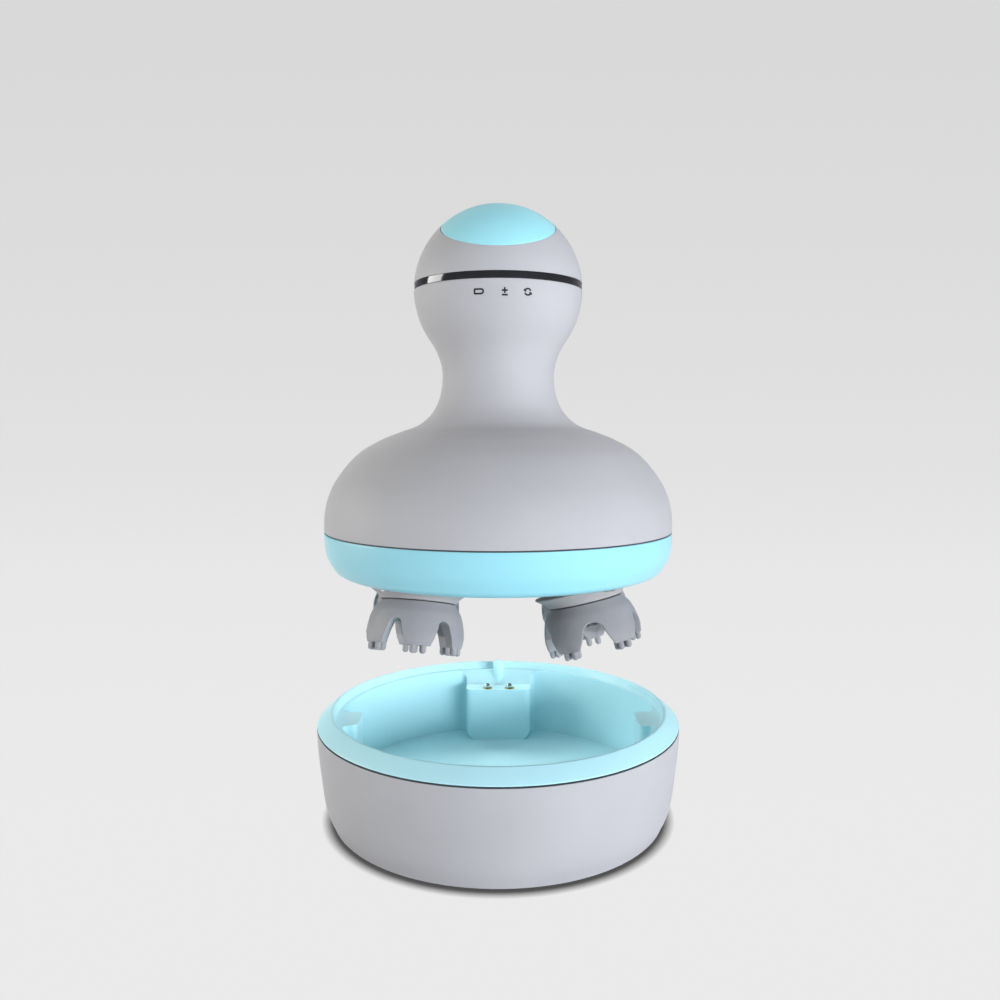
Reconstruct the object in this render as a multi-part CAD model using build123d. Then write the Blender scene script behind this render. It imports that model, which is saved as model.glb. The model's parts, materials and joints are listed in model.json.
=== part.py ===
from build123d import *

import os
from math import acos, atan2, cos, degrees, hypot, pi, radians, sin, sqrt, tan

# Cordless scalp massager hovering over its charging dock, millimetres.
# Origin: centre of the dock's footprint on the table.  +Z up, front towards -Y.

# Fits
running_gap = 0.05
slip_gap = 0.3
clear_gap = 0.2

# Dock: outer shell
dock_radius = 55.2
dock_draw = 4.5
dock_seam_z = 29.0
dock_wall = 2.0
dock_lift = 0.5
seam_groove = 0.35

# Dock: liner
lip_width = 4.9
lip_rise = 4.1
ledge_width = 2.1
ledge_rise = 1.8
floor_z = 8.6
dish_depth = 1.2
dish_radius = 20.0
liner_wall = 1.6

# Dock: contact pillar, locating peg and side rests
pillar_depth = 11.7
pillar_half_width = 11.4
pillar_corner = 2.2
pillar_drop = 4.2
pillar_flat = 6.7
recess_flare = 1.9
peg_inset = 2.2
peg_radius = 1.9
peg_rise = 1.8
rest_length = 6.4
rest_y = -7.0
rest_half_width = 6.5
rest_relief = 1.2
rest_full_drop = 6.8
rest_relief_drop = 11.3
wall_blend = 3.0

# Dock: charging pins
pin_spacing = 7.8
pin_inset = 3.5
pin_radius = 0.9
pin_stroke = 1.0
pin_proud = 1.8
barrel_radius = 1.35
barrel_bore = pin_radius + running_gap
collar_radius = 1.75

# Dock: base and its fittings
base_thickness = 1.8
pad_radius = 5.0
pad_height = 1.0
pad_inset = 12.7
dock_screw_inset = 19.7
screw_radius = 1.25
screw_head_radius = 2.4
screw_head_height = 1.6
boss_wall = 1.6
board_thickness = 1.6
board_length = 32.0
board_half_width = 15.0
board_inset = 4.2
board_rail_x = 10.0
socket_width = 8.9
socket_height = 3.2
socket_depth = 7.3
socket_inset = 3.4

# Massager housing, as it hovers over the dock
seam_z = 88.0
housing_inset = 3.0
ring_drop = 12.8
ring_flange = 1.4
ring_wall = 2.1
housing_wall = 2.4
gasket_height = 0.4
gasket_inset = 0.3
knob_rise = 71.3
knob_radius = 25.1
knob_join_drop = 12.9
band_height = 2.1
band_drop = 0.2
band_inset = 0.15
band_depth = 3.4
neck_outer_radius = 16.8
# share of the way out from the neck to the widest ring, height above the seam
shoulder = [(1.0, 0.0), (0.98, 8.0), (0.898, 15.0), (0.718, 22.7), (0.52, 27.0), (0.359, 29.3)]
neck = [(0.203, 31.4), (0.102, 34.4), (0.04, 38.0), (0.006, 42.4), (0.0, 47.6), (0.042, 52.9)]

# Button in the knob, on an axis tipped to the front
button_tilt = 28.0
button_half_angle = 41.5
button_travel = 1.0
cap_wall = 1.8
skirt_wall = 1.4
skirt_depth = 8.9
plunger_radius = 3.0
plunger_depth = 13.7
plunger_gap = 0.15
well_depth = 12.3
well_web = 1.5
well_wall = 1.5
switch_size = 6.0
switch_height = 3.5
board_shelf_drop = 3.3

# Gear train: a sun gear drives four crank gears
gear_module = 0.8
sun_teeth = 31
crank_teeth = 36
gear_backlash = 0.14
gear_height = 5.0
head_x = 21.5
pivot_drop = 4.5

# Chassis
plate_thickness = 2.0
lower_plate_drop = 2.0
plate_spacing = 12.5
gear_lift = 5.0
plate_inset = 11.7
journal_radius = 6.4
bush_wall = 1.4
stub_radius = 3.0
shaft_radius = 2.5
post_radius = 3.5
post_y = 28.0
post_inset = 3.7
case_screw_inset = 7.8
case_screw_angle = 49.0

# Drive and power
gearbox_radius = 12.2
gearbox_height = 12.0
motor_height = 31.0
cell_radius = 7.1
cell_inset = 32.2
cell_gap = 0.5
cell_seat = 0.05
strap_wall = 0.6
strap_width = 3.5
strap_inset = 5.25
cradle_width = 4.0
cradle_spacing = 4.75

# Swivel heads
head_tilt = 15.5
crank_pin_radius = 2.0
crank_pin_top = 9.2
crank_pin_low = 22.0
pin_head_radius = 3.2
pin_head_height = 1.4
hub_radius = 5.0
hub_top = 3.4
hub_disc_radius = 9.4
hub_disc_low = 15.0
hub_disc_height = 1.6
ball_radius = 15.5
ball_wall = 1.4
socket_gap = 0.35
ball_top_angle = 78.0
neck_radius = 10.8
neck_low = 14.8
skirt_rim_radius = 14.0
skirt_rim_low = 11.8
base_plate_thickness = 1.6

# Claws
claw_wall = 3.3
claw_radius = 13.9
claw_top = 15.0
claw_low = 27.2
arch_top = 20.2
arch_flare = 1.8
finger_width = 6.3
nub_radius = 0.76
nub_length = 2.0
nub_pitch_radial = 1.6
nub_pitch_side = 2.7

# Contact block under the massager
block_half_width = 7.6
block_drop = 2.2
block_front = 2.6
block_back = 1.6
pad_disc_radius = 1.7
pad_disc_inset = 0.4

# Worked out from the sizes above
dock_foot_radius = dock_radius - dock_draw
lip_radius = dock_radius - lip_width
lip_z = dock_seam_z + lip_rise
ledge_z = dock_seam_z + ledge_rise
cavity_radius = lip_radius - ledge_width
liner_low = floor_z - dish_depth - liner_wall
pillar_front_y = cavity_radius - pillar_depth
pillar_top_z = ledge_z - pillar_drop
pillar_slope_y = pillar_front_y + pillar_flat
contact_board_z = pillar_top_z - liner_wall - 3.0
pin_y = pillar_front_y + pin_inset
peg_y = cavity_radius - peg_inset
peg_top_z = lip_z + peg_rise
rest_tip_x = cavity_radius - rest_length
rest_relief_x = rest_tip_x + rest_relief
rest_full_z = ledge_z - rest_full_drop
rest_relief_z = ledge_z - rest_relief_drop
pad_ring_radius = dock_foot_radius - pad_inset
dock_screw_ring = dock_foot_radius - dock_screw_inset
board_z = dock_lift + base_thickness + 0.6
socket_centre_z = board_z + board_thickness + socket_height / 2
housing_radius = dock_radius - housing_inset
ring_bottom_z = seam_z - ring_drop
ring_corner_radius = housing_radius - 2.8
ring_flat_radius = housing_radius - 7.3
ring_flange_radius = housing_radius - 8.3
base_plate_radius = housing_radius - 5.6
base_plate_z = ring_bottom_z + ring_flange
base_plate_top_z = base_plate_z + base_plate_thickness
knob_z = seam_z + knob_rise
knob_join_z = knob_z - knob_join_drop
band_bottom_z = knob_z - band_drop
band_top_z = band_bottom_z + band_height
board_shelf_z = knob_z - board_shelf_drop
skirt_low = knob_radius - skirt_depth
plunger_low = knob_radius - plunger_depth
well_web_low = knob_radius - well_depth
button_hole_radius = knob_radius * sin(radians(button_half_angle))
centre_distance = gear_module * (sun_teeth + crank_teeth) / 2
head_y = sqrt(centre_distance**2 - head_x**2)
pivot_z = seam_z - pivot_drop
lower_plate_z = seam_z - lower_plate_drop
lower_plate_top_z = lower_plate_z + plate_thickness
upper_plate_z = lower_plate_z + plate_spacing
upper_plate_top_z = upper_plate_z + plate_thickness
gear_low_z = lower_plate_z + gear_lift
gear_top_z = gear_low_z + gear_height
plate_radius = housing_radius - plate_inset
post_x = plate_radius - post_inset
case_screw_radius_pos = housing_radius - case_screw_inset
cell_y = gearbox_radius + cell_radius + cell_gap
cell_z = upper_plate_top_z + cell_radius + cell_seat
cell_length = 2 * (housing_radius - cell_inset)
strap_x = cell_length / 2 - strap_inset
cradle_x = strap_x - cradle_spacing
block_low_z = ring_bottom_z - block_drop
pad_disc_y = pin_y - pad_disc_inset

# name, side (x), side (y), lean direction (degrees from the front, + to the right),
# finger count, first finger's direction
heads = [
    ("front_left", -1, -1, -18.0, 6, 10.0),
    ("front_right", 1, -1, 60.0, 5, 34.0),
    ("back_left", -1, 1, -50.0, 5, 34.0),
    ("back_right", 1, 1, 90.0, 6, 10.0),
]

os.makedirs("parts", exist_ok=True)


def save(shape, node):
    export_step(shape, f"parts/{node}.step")


def polygon_rz(points):
    return Polyline(*[(r, 0, z) for r, z in points], close=True)


def turned(*edges):
    return revolve(make_face(Curve() + list(edges)), Axis.Z)


def turned_polygon(points):
    return turned(polygon_rz(points))


def tube(outer, inner, low, high):
    """Ring about the z axis between two heights."""
    ring = Circle(outer) - Circle(inner) if inner > 0 else Circle(outer)
    return extrude(Pos(0, 0, low) * ring, high - low)


def rod(radius, low, high):
    return tube(radius, 0, low, high)


def block(x0, x1, y0, y1, z0, z1):
    centre = ((x0 + x1) / 2, (y0 + y1) / 2, (z0 + z1) / 2)
    return Pos(*centre) * Box(x1 - x0, y1 - y0, z1 - z0)


def around(count, radius, shape, start=0.0):
    """Copies of a shape set round the z axis."""
    places = [start + 360 * k / count for k in range(count)]
    return [Rot(0, 0, a) * Pos(radius, 0, 0) * shape for a in places]


def screw(head_z, length):
    """Pan-head screw pointing up, with a cross recess in its head."""
    body = rod(screw_radius, head_z, head_z + length)
    head = rod(screw_head_radius, head_z - screw_head_height, head_z)
    slot = block(-1.3, 1.3, -0.3, 0.3, head_z - screw_head_height, head_z - screw_head_height + 0.8)
    return body + head - slot - Rot(0, 0, 90) * slot


# ---- Dock ----


def dock_shell():
    """Outer shell: a shallow bowl side, open above and below."""
    low = dock_lift
    top = dock_seam_z
    swell = (dock_foot_radius + 3.5, top * 0.54)

    def side(inset):
        return Spline(
            (dock_foot_radius - inset, 0, low + 0.8),
            (swell[0] - inset, 0, swell[1]),
            (dock_radius - inset, 0, top),
            tangents=[(0.55, 0, 1), (0.04, 0, 1)],
        )

    outer = side(0)
    inner = side(dock_wall)
    foot = [
        Line((dock_foot_radius, 0, low + 0.8), (dock_foot_radius - 0.8, 0, low)),
        Line((dock_foot_radius - 0.8, 0, low), (dock_foot_radius - dock_wall, 0, low)),
        Line((dock_foot_radius - dock_wall, 0, low), (dock_foot_radius - dock_wall, 0, low + 0.8)),
    ]
    rim = Line((dock_radius, 0, top), (dock_radius - dock_wall, 0, top))
    shell = turned(outer, inner, rim, *foot)
    return shell - socket_slot(clear_gap)


def socket_slot(gap):
    """Space for the power socket through the back of the shell."""
    half = socket_height / 2 + gap
    z = socket_centre_z
    slot = Pos(0, dock_radius, z) * Rot(90, 0, 0) * extrude(
        SlotOverall(socket_width + 2 * gap, 2 * half), 12
    )
    return slot


def cavity(low, high):
    """The dock's hollow: round, less the contact pillar and the two side rests."""
    height = high - low
    middle = (low + high) / 2
    depth = cavity_radius - pillar_front_y + 6
    reach = cavity_radius - rest_tip_x + 8
    hollow = rod(cavity_radius, low, high)
    hollow -= Pos(0, pillar_front_y + depth / 2, middle) * Box(2 * pillar_half_width, depth, height)
    for side in (-1, 1):
        rest = Box(reach, 2 * rest_half_width, height)
        hollow -= Pos(side * (rest_tip_x + reach / 2), rest_y, middle) * rest
    tips = [e for e in hollow.edges().filter_by(Axis.Z) if from_axis(e) < cavity_radius - 0.5]
    hollow = fillet(tips, pillar_corner)
    roots = [e for e in hollow.edges().filter_by(Axis.Z) if from_axis(e) > cavity_radius - 0.05]
    return fillet(roots, wall_blend)


def from_axis(edge):
    return hypot(edge.center().X, edge.center().Y)


def dock_liner():
    """Liner: sloped lip, ledge, deep hollow, contact pillar with its peg, and side rests."""
    outer_low = liner_low
    outer_radius = cavity_radius + liner_wall
    lip_edge = dock_radius - 0.1
    body = turned_polygon(
        [
            (0, outer_low),
            (outer_radius - 3, outer_low),
            (outer_radius, outer_low + 3),
            (outer_radius, dock_seam_z),
            (dock_radius - seam_groove, dock_seam_z),
            (dock_radius - seam_groove, dock_seam_z + seam_groove),
            (lip_edge, dock_seam_z + seam_groove),
            (lip_edge - 0.05, dock_seam_z + seam_groove + 0.35),
            (lip_radius + 0.9, lip_z),
            (lip_radius + 0.25, lip_z),
            (lip_radius, lip_z - 0.3),
            (lip_radius, ledge_z),
            (0, ledge_z),
        ]
    )
    body -= cavity(floor_z, ledge_z + 1)
    # top of the pillar: a recess that slopes up to the ledge behind it
    rise = ledge_z - pillar_top_z
    profile = Polyline(
        (0, pillar_front_y - 3, pillar_top_z),
        (0, pillar_slope_y, pillar_top_z),
        (0, pillar_slope_y + rise, ledge_z),
        (0, pillar_slope_y + rise, ledge_z + 1),
        (0, pillar_front_y - 3, ledge_z + 1),
        close=True,
    )
    half = pillar_half_width + recess_flare
    body -= extrude(Pos(-half, 0, 0) * make_face(profile), 2 * half, dir=(1, 0, 0))
    # the side rests are cut back lower down, where the heads swing past them
    relief = Polyline(
        (rest_tip_x - 2, 0, floor_z),
        (rest_relief_x, 0, floor_z),
        (rest_relief_x, 0, rest_relief_z),
        (rest_tip_x, 0, rest_full_z),
        (rest_tip_x - 2, 0, rest_full_z),
        close=True,
    )
    width = rest_half_width + 2
    relief = Pos(0, rest_y + width, 0) * extrude(make_face(relief), 2 * width, dir=(0, -1, 0))
    body -= relief
    body -= mirror(relief, Plane.YZ)
    # lower corners of the pillar are cut away
    for side in (-1, 1):
        wedge = Pos(side * pillar_half_width, pillar_front_y + 3, floor_z) * Rot(0, 45, 0) * Box(3.6, 9, 3.6)
        body -= wedge & block(-30, 30, pillar_front_y - 1, pillar_front_y + 7.5, floor_z, floor_z + 6)
    # four shallow dishes in the floor, one under each head
    sphere_radius = (dish_radius**2 + dish_depth**2) / (2 * dish_depth)
    dish_room = cavity(floor_z - 5, floor_z + 0.5)
    for sx in (-1, 1):
        for sy in (-1, 1):
            dish = Pos(sx * head_x, sy * head_y, floor_z - dish_depth + sphere_radius) * Sphere(sphere_radius)
            body -= dish & dish_room
    # hollow of the pillar, from below
    pocket = block(
        -pillar_half_width + 2, pillar_half_width - 2,
        pillar_front_y + 2, cavity_radius - 1.5,
        outer_low - 1, pillar_top_z - liner_wall,
    )
    body -= pocket
    half = socket_width / 2 + 0.6
    body -= block(
        -half, half, pillar_front_y + 2, dock_radius,
        outer_low - 1, socket_centre_z + socket_height / 2 + 0.4,
    )
    for side in (-1, 1):
        body -= Pos(side * pin_spacing / 2, pin_y, 0) * rod(barrel_radius + 0.02, floor_z, ledge_z)
        post = rod(1.2, contact_board_z + 1.2, pillar_top_z)
        body += Pos(side * (pillar_half_width - 3.6), pin_y + 3.4, 0) * post
    # locating peg
    peg = rod(peg_radius, pillar_top_z + 1, peg_top_z - peg_radius * 0.5)
    body += Pos(0, peg_y, 0) * fillet(peg.edges().group_by(Axis.Z)[-1], peg_radius * 0.5)
    # screw bosses under the floor
    boss = rod(screw_radius + boss_wall, dock_lift + base_thickness, outer_low)
    hole = rod(screw_radius + 0.02, 0, outer_low + 0.6)
    for place in dock_screw_places():
        body += place * boss
        body -= place * hole
    return body


def dock_screw_places():
    return [Rot(0, 0, a) * Pos(dock_screw_ring, 0, 0) for a in (0, 60, 120, 180, 240, 300)]


def dock_base():
    """Floor plate of the dock, screwed up into the liner."""
    radius = dock_foot_radius - dock_wall - 0.15
    low = dock_lift
    plate = rod(radius, low, low + base_thickness)
    for pad in around(4, pad_ring_radius, rod(pad_radius + 0.1, low - 1, low + pad_height - 0.5 + 0.02), 45):
        plate -= pad
    for place in dock_screw_places():
        plate -= place * rod(screw_radius + clear_gap, 0, 5)
        plate -= place * rod(screw_head_radius + clear_gap, 0, low + 1.2)
        plate += place * (
            rod(screw_radius + boss_wall, low + 1.2, low + base_thickness)
            - rod(screw_radius + clear_gap, 0, 5)
        )
    # ledges that carry the circuit board
    for side in (-1, 1):
        rail = block(
            side * board_rail_x - 1.2, side * board_rail_x + 1.2,
            board_back_y() - board_length + 1.5, board_back_y() - 1.5,
            low + base_thickness, board_z,
        )
        plate += rail
    return plate


def dock_pads():
    pad = rod(pad_radius, 0, pad_height)
    pad = fillet(pad.edges().group_by(Axis.Z)[0], 0.3)
    return Compound(around(4, pad_ring_radius, pad, 45))


def dock_screws():
    return Compound([place * screw(dock_lift + 1.2, 3.6) for place in dock_screw_places()])


def board_back_y():
    return dock_foot_radius - board_inset


def dock_board():
    low = board_z
    back = board_back_y()
    board = block(
        -board_half_width, board_half_width, back - board_length, back, low, low + board_thickness
    )
    for place in dock_screw_places():
        board -= place * rod(screw_radius + boss_wall + clear_gap, 0, 10)
    top = low + board_thickness
    board += block(-9, -4, back - 28, back - 23, top, top + 0.9)
    board += block(3, 7, back - 28, back - 25, top, top + 1.0)
    return board


def dock_socket():
    """Small rounded power socket at the back of the dock."""
    mouth_y = dock_radius - socket_inset
    body = Pos(0, mouth_y, socket_centre_z) * Rot(90, 0, 0) * extrude(
        SlotOverall(socket_width, socket_height), socket_depth
    )
    hollow = Pos(0, mouth_y, socket_centre_z) * Rot(90, 0, 0) * extrude(
        SlotOverall(socket_width - 0.7, socket_height - 0.7), socket_depth - 1
    )
    tongue = block(-3.2, 3.2, mouth_y - socket_depth + 1, mouth_y - 1, socket_centre_z - 0.35, socket_centre_z + 0.35)
    return body - hollow + tongue


def contact_board():
    """Small board in the pillar that carries the two pin barrels."""
    half = pillar_half_width - 2 - clear_gap
    board = block(
        -half, half, pillar_front_y + 2 + clear_gap, cavity_radius - 1.5 - clear_gap,
        contact_board_z, contact_board_z + 1.2,
    )
    return board


def pin_barrels():
    """Gold-plated barrels with a flat collar that shows round each charging pin."""
    low = contact_board_z + 1.2
    barrel = rod(barrel_radius, low, pillar_top_z)
    barrel += rod(collar_radius, pillar_top_z, pillar_top_z + 0.25)
    barrel -= rod(barrel_bore, low + 0.4, pillar_top_z + 1)
    return Compound([Pos(s * pin_spacing / 2, pin_y, 0) * barrel for s in (-1, 1)])


def charging_pin(side):
    """Sprung pin with a ball end."""
    top = pillar_top_z + pin_proud
    low = contact_board_z + 1.2 + 0.4 + pin_stroke + 0.3
    pin = rod(pin_radius, low, top)
    pin = fillet(pin.edges().group_by(Axis.Z)[-1], pin_radius * 0.85)
    return Pos(side * pin_spacing / 2, pin_y, 0) * pin


# ---- Massager housing ----


def knob_arc(inset, z0, z1):
    radius = knob_radius - inset

    def at(z):
        return (sqrt(radius**2 - (z - knob_z) ** 2), 0, z)

    return ThreePointArc(at(z0), at((z0 + z1) / 2), at(z1))


def housing_points():
    """Radius and height of the housing from the seam over the shoulder and neck."""
    reach = housing_radius - neck_outer_radius
    return [(neck_outer_radius + share * reach, seam_z + rise) for share, rise in shoulder + neck]


def housing_side(inset):
    """Side of the housing from the seam to the knob, moved inwards by inset."""
    surface = housing_points()
    points = []
    last = len(surface) - 1
    for i, (r, z) in enumerate(surface):
        r0, z0 = surface[max(i - 1, 0)]
        r1, z1 = surface[min(i + 1, last)]
        length = hypot(r1 - r0, z1 - z0)
        if i == 0:
            points.append((r - inset, 0, z + gasket_height / 2))
        else:
            points.append((r - inset * (z1 - z0) / length, 0, z + inset * (r1 - r0) / length))
    radius = knob_radius - inset
    join_z = knob_z + (knob_join_z - knob_z) * radius / knob_radius
    join_r = sqrt(radius**2 - (join_z - knob_z) ** 2)
    points.append((join_r, 0, join_z))
    return Spline(*points, tangents=[(0, 0, 1), (knob_z - join_z, 0, join_r)]), points[0], join_z


def housing_solid(inset):
    """Solid inside the housing's surface, seam to the band."""
    side, start, join_z = housing_side(inset)
    arc = knob_arc(inset, join_z, band_bottom_z)
    top = arc @ 1
    edges = [
        side,
        arc,
        Line(top, (0, 0, band_bottom_z)),
        Line((0, 0, band_bottom_z), (0, 0, start[2])),
        Line((0, 0, start[2]), start),
    ]
    return turned(*edges)


def case_screw_places():
    angles = (case_screw_angle, 180 - case_screw_angle, 180 + case_screw_angle, -case_screw_angle)
    return [Rot(0, 0, a) * Pos(case_screw_radius_pos, 0, 0) for a in angles]


def upper_housing():
    """One moulding: shoulder, neck and the lower half of the knob."""
    outer = housing_solid(0)
    shell = outer - housing_solid(housing_wall)
    # inner shelf for the control board
    shelf_z = board_shelf_z
    shelf = turned_polygon(
        [
            (knob_radius - 6.1, shelf_z - 1.2),
            (knob_radius - 3.1, shelf_z - 4.2),
            (knob_radius - 1, shelf_z - 4.2),
            (knob_radius - 1, shelf_z),
            (knob_radius - 6.1, shelf_z),
        ]
    )
    shell += shelf & outer
    # screw bosses down to the base plate
    boss = rod(screw_radius + boss_wall, base_plate_top_z, seam_z + 15)
    hole = rod(screw_radius + 0.02, base_plate_top_z - 1, base_plate_top_z + 9)
    low_room = rod(housing_radius + 8, base_plate_top_z, seam_z + 2)
    for place in case_screw_places():
        shell += (place * boss) & (outer + low_room)
        shell -= place * hole
    return shell


def indicator_band():
    """Dark glossy ring round the knob."""
    outer = knob_radius - band_inset
    ring = tube(outer, outer - band_depth, band_bottom_z, band_top_z)
    return chamfer(ring.edges().filter_by(GeomType.CIRCLE).group_by(SortBy.RADIUS)[-1], 0.12)


def tipped(shape):
    """Moves a shape built on +Z at the knob's centre onto the button's axis."""
    return Pos(0, 0, knob_z) * Rot(button_tilt, 0, 0) * shape


def knob_cover():
    """Upper half of the knob with the button's well."""
    ball = Pos(0, 0, knob_z) * Sphere(knob_radius)
    hollow = Pos(0, 0, knob_z) * Sphere(knob_radius - housing_wall)
    half = knob_radius + 5
    above = block(-half, half, -half, half, band_top_z, knob_z + half)
    cover = (ball & above) - hollow
    well = tipped(rod(button_hole_radius + well_wall, well_web_low, knob_radius + 1))
    cover += well & ball & above
    cover -= tipped(rod(button_hole_radius, well_web_low + well_web, knob_radius + 2))
    cover -= tipped(rod(plunger_radius + plunger_gap, 0, knob_radius))
    # spigot that seats inside the band
    spigot_outer = knob_radius - band_inset - band_depth - clear_gap
    cover += tube(spigot_outer, spigot_outer - 1.2, band_top_z - 1.6, band_top_z)
    cover += tube(knob_radius - housing_wall + 0.3, spigot_outer - 1.2, band_top_z, band_top_z + 1.2)
    return cover


def button_cap():
    """Domed cap with a skirt that slides in the well and a plunger on its axis."""
    edge = button_hole_radius - slip_gap
    dome = Sphere(knob_radius) - Sphere(knob_radius - cap_wall)
    cap = dome & rod(edge, knob_radius * 0.5, knob_radius + 1)
    skirt = tube(edge, edge - skirt_wall, skirt_low, knob_radius + 1)
    plunger = rod(plunger_radius, plunger_low, knob_radius - cap_wall / 2)
    cap += (skirt + plunger) & Sphere(knob_radius)
    return tipped(cap)


def button_spring():
    """Coil spring between the well's web and the cap."""
    low = well_web_low + well_web
    high = knob_radius - cap_wall - 0.75
    wire = 0.35
    turns = 5
    path = Helix((high - low - 2 * wire) / turns, high - low - 2 * wire, 5.0)
    start = Plane(path @ 0, z_dir=path % 0)
    coil = sweep(start * Circle(wire), path, is_frenet=True)
    return tipped(Pos(0, 0, low + wire) * coil)


def button_switch():
    """Press switch on the button's axis."""
    top = plunger_low - button_travel - 0.2
    body = Pos(0, 0, top - 0.8 - switch_height / 2) * Box(switch_size, switch_size, switch_height)
    actuator = rod(1.6, top - 0.8, top)
    return tipped(body + actuator)


def switch_bracket():
    """Angled stand that carries the switch on the control board."""
    top = plunger_low - button_travel - 0.2 - 0.8 - switch_height
    stand = tipped(Pos(0, 0, top - 12) * Cylinder(4.6, 24))
    return stand & block(-20, 20, -20, 20, board_shelf_z + board_thickness, knob_z + 20)


def control_board():
    radius = knob_radius - 4.5
    low = board_shelf_z
    board = rod(radius, low, low + board_thickness)
    top = low + board_thickness
    board += block(-12, -6, 6, 12, top, top + 1.2)
    board += block(5, 11, 8, 12, top, top + 0.9)
    board += block(-4, 4, 12, 15, low - 1.4, low)
    return board


def status_lights():
    """Indicator lights on the control board, behind the band."""
    light = block(-1.2, 1.2, -0.8, 0.8, board_shelf_z + board_thickness, board_shelf_z + board_thickness + 0.9)
    return Compound([Rot(0, 0, a) * Pos(0, 5.9 - knob_radius, 0) * light for a in (-20, 3, 24, -62)])


# ---- Massager underside ----


def blue_ring():
    """Coloured lower trim: wall from the seam down and a flange that carries the base plate."""
    top = seam_z - gasket_height / 2
    outer_r = housing_radius
    corner = (ring_corner_radius, ring_bottom_z + 2.0)
    side = Spline(
        (corner[0], 0, corner[1]),
        (outer_r - 0.7, 0, ring_bottom_z + 6.0),
        (outer_r, 0, top),
        tangents=[(0.62, 0, 1), (0, 0, 1)],
    )
    turn = Spline(
        (ring_flat_radius, 0, ring_bottom_z), (corner[0], 0, corner[1]), tangents=[(1, 0, 0), (0.62, 0, 1)]
    )
    inner_corner = (corner[0] - 2.0, ring_bottom_z + ring_flange)
    inner_side = Spline(
        (inner_corner[0], 0, inner_corner[1]),
        (outer_r - ring_wall, 0, top),
        tangents=[(0.4, 0, 1), (0, 0, 1)],
    )
    ring = turned(
        side,
        Line((outer_r, 0, top), (outer_r - ring_wall, 0, top)),
        inner_side,
        Line((inner_corner[0], 0, inner_corner[1]), (ring_flange_radius, 0, inner_corner[1])),
        Line((ring_flange_radius, 0, inner_corner[1]), (ring_flange_radius, 0, ring_bottom_z)),
        Line((ring_flange_radius, 0, ring_bottom_z), (ring_flat_radius, 0, ring_bottom_z)),
        turn,
    )
    ring -= Pos(0, peg_y, 0) * rod(peg_radius + slip_gap, ring_bottom_z - 1, base_plate_z + 1)
    for place in case_screw_places():
        ring -= place * rod(screw_head_radius + clear_gap, ring_bottom_z - 2, base_plate_z + 0.5)
    return ring


def seam_gasket():
    outer = housing_radius - gasket_inset
    return tube(outer, outer - 1.6, seam_z - gasket_height / 2, seam_z + gasket_height / 2)


def head_place(head):
    """Where a head's swing centre lies."""
    name, sx, sy, lean, fingers, first = head
    return Pos(sx * head_x, sy * head_y, pivot_z)


def leaned(head, shape):
    """Moves a shape built on the z axis, swing centre at its origin, to its leaning place."""
    lean = head[3]
    return head_place(head) * Rot(0, 0, lean) * Rot(-head_tilt, 0, 0) * Rot(0, 0, -lean) * shape


def base_plate():
    """Plate under the works: four ball sockets, posts for the chassis and the contact block."""
    plate = rod(base_plate_radius, base_plate_z, base_plate_top_z)
    plate += block(
        -block_half_width, block_half_width,
        pin_y - block_front, pin_y + block_back,
        block_low_z, base_plate_z + 0.2,
    )
    post = rod(post_radius, base_plate_top_z, lower_plate_z)
    for x, y in chassis_post_places():
        plate += Pos(x, y, 0) * post
        plate -= Pos(x, y, 0) * rod(screw_radius + 0.02, lower_plate_z - 6, lower_plate_z + 1)
    for head in heads:
        plate -= head_place(head) * Sphere(ball_radius + socket_gap)
    plate -= Pos(0, peg_y, 0) * rod(peg_radius + slip_gap, base_plate_z - 1, base_plate_top_z + 1)
    for place in case_screw_places():
        plate -= place * rod(screw_radius + clear_gap, base_plate_z - 1, base_plate_top_z + 1)
    for side in (-1, 1):
        pad = rod(pad_disc_radius + 0.02, block_low_z - 1, block_low_z + 0.8)
        plate -= Pos(side * pin_spacing / 2, pad_disc_y, 0) * pad
    return plate


def contact_pads():
    """Gold-plated discs that meet the dock's pins."""
    disc = rod(pad_disc_radius, block_low_z - 0.1, block_low_z + 0.8)
    return Compound([Pos(s * pin_spacing / 2, pad_disc_y, 0) * disc for s in (-1, 1)])


def chassis_post_places():
    return [(0, post_y), (0, -post_y), (post_x, 0), (-post_x, 0)]


def case_screws():
    return Compound([place * screw(base_plate_z, 8.0) for place in case_screw_places()])


# ---- Gear train ----


def involute_gear(teeth, height, backlash):
    """Spur gear with involute flanks; one tooth is centred on +X."""
    pressure = radians(20)
    pitch_r = gear_module * teeth / 2
    base_r = pitch_r * cos(pressure)
    tip_r = pitch_r + gear_module
    root_r = pitch_r - 1.25 * gear_module

    def involute(r):
        a = acos(base_r / r)
        return tan(a) - a

    half_at_pitch = pi / (2 * teeth) - backlash / (2 * pitch_r)
    low_r = max(root_r, base_r)
    radii = [low_r + (tip_r - low_r) * k / 3 for k in range(4)]
    flank = [(r, half_at_pitch + involute(pitch_r) - involute(r)) for r in radii]
    if root_r < base_r:
        flank.insert(0, (root_r, flank[0][1]))
    points = []
    for k in range(teeth):
        middle = 2 * pi * k / teeth
        for r, half in flank:
            points.append((r * cos(middle - half), r * sin(middle - half)))
        for r, half in reversed(flank):
            points.append((r * cos(middle + half), r * sin(middle + half)))
    return extrude(make_face(Polyline(*points, close=True)), height)


def mesh_turn(angle):
    """Turn of a crank gear, at this angle from the sun, that puts it in mesh."""
    turn = 360.0
    sun_phase = (angle * sun_teeth / turn) % 1.0
    return angle + 180 - (0.5 - sun_phase) * turn / crank_teeth


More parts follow.
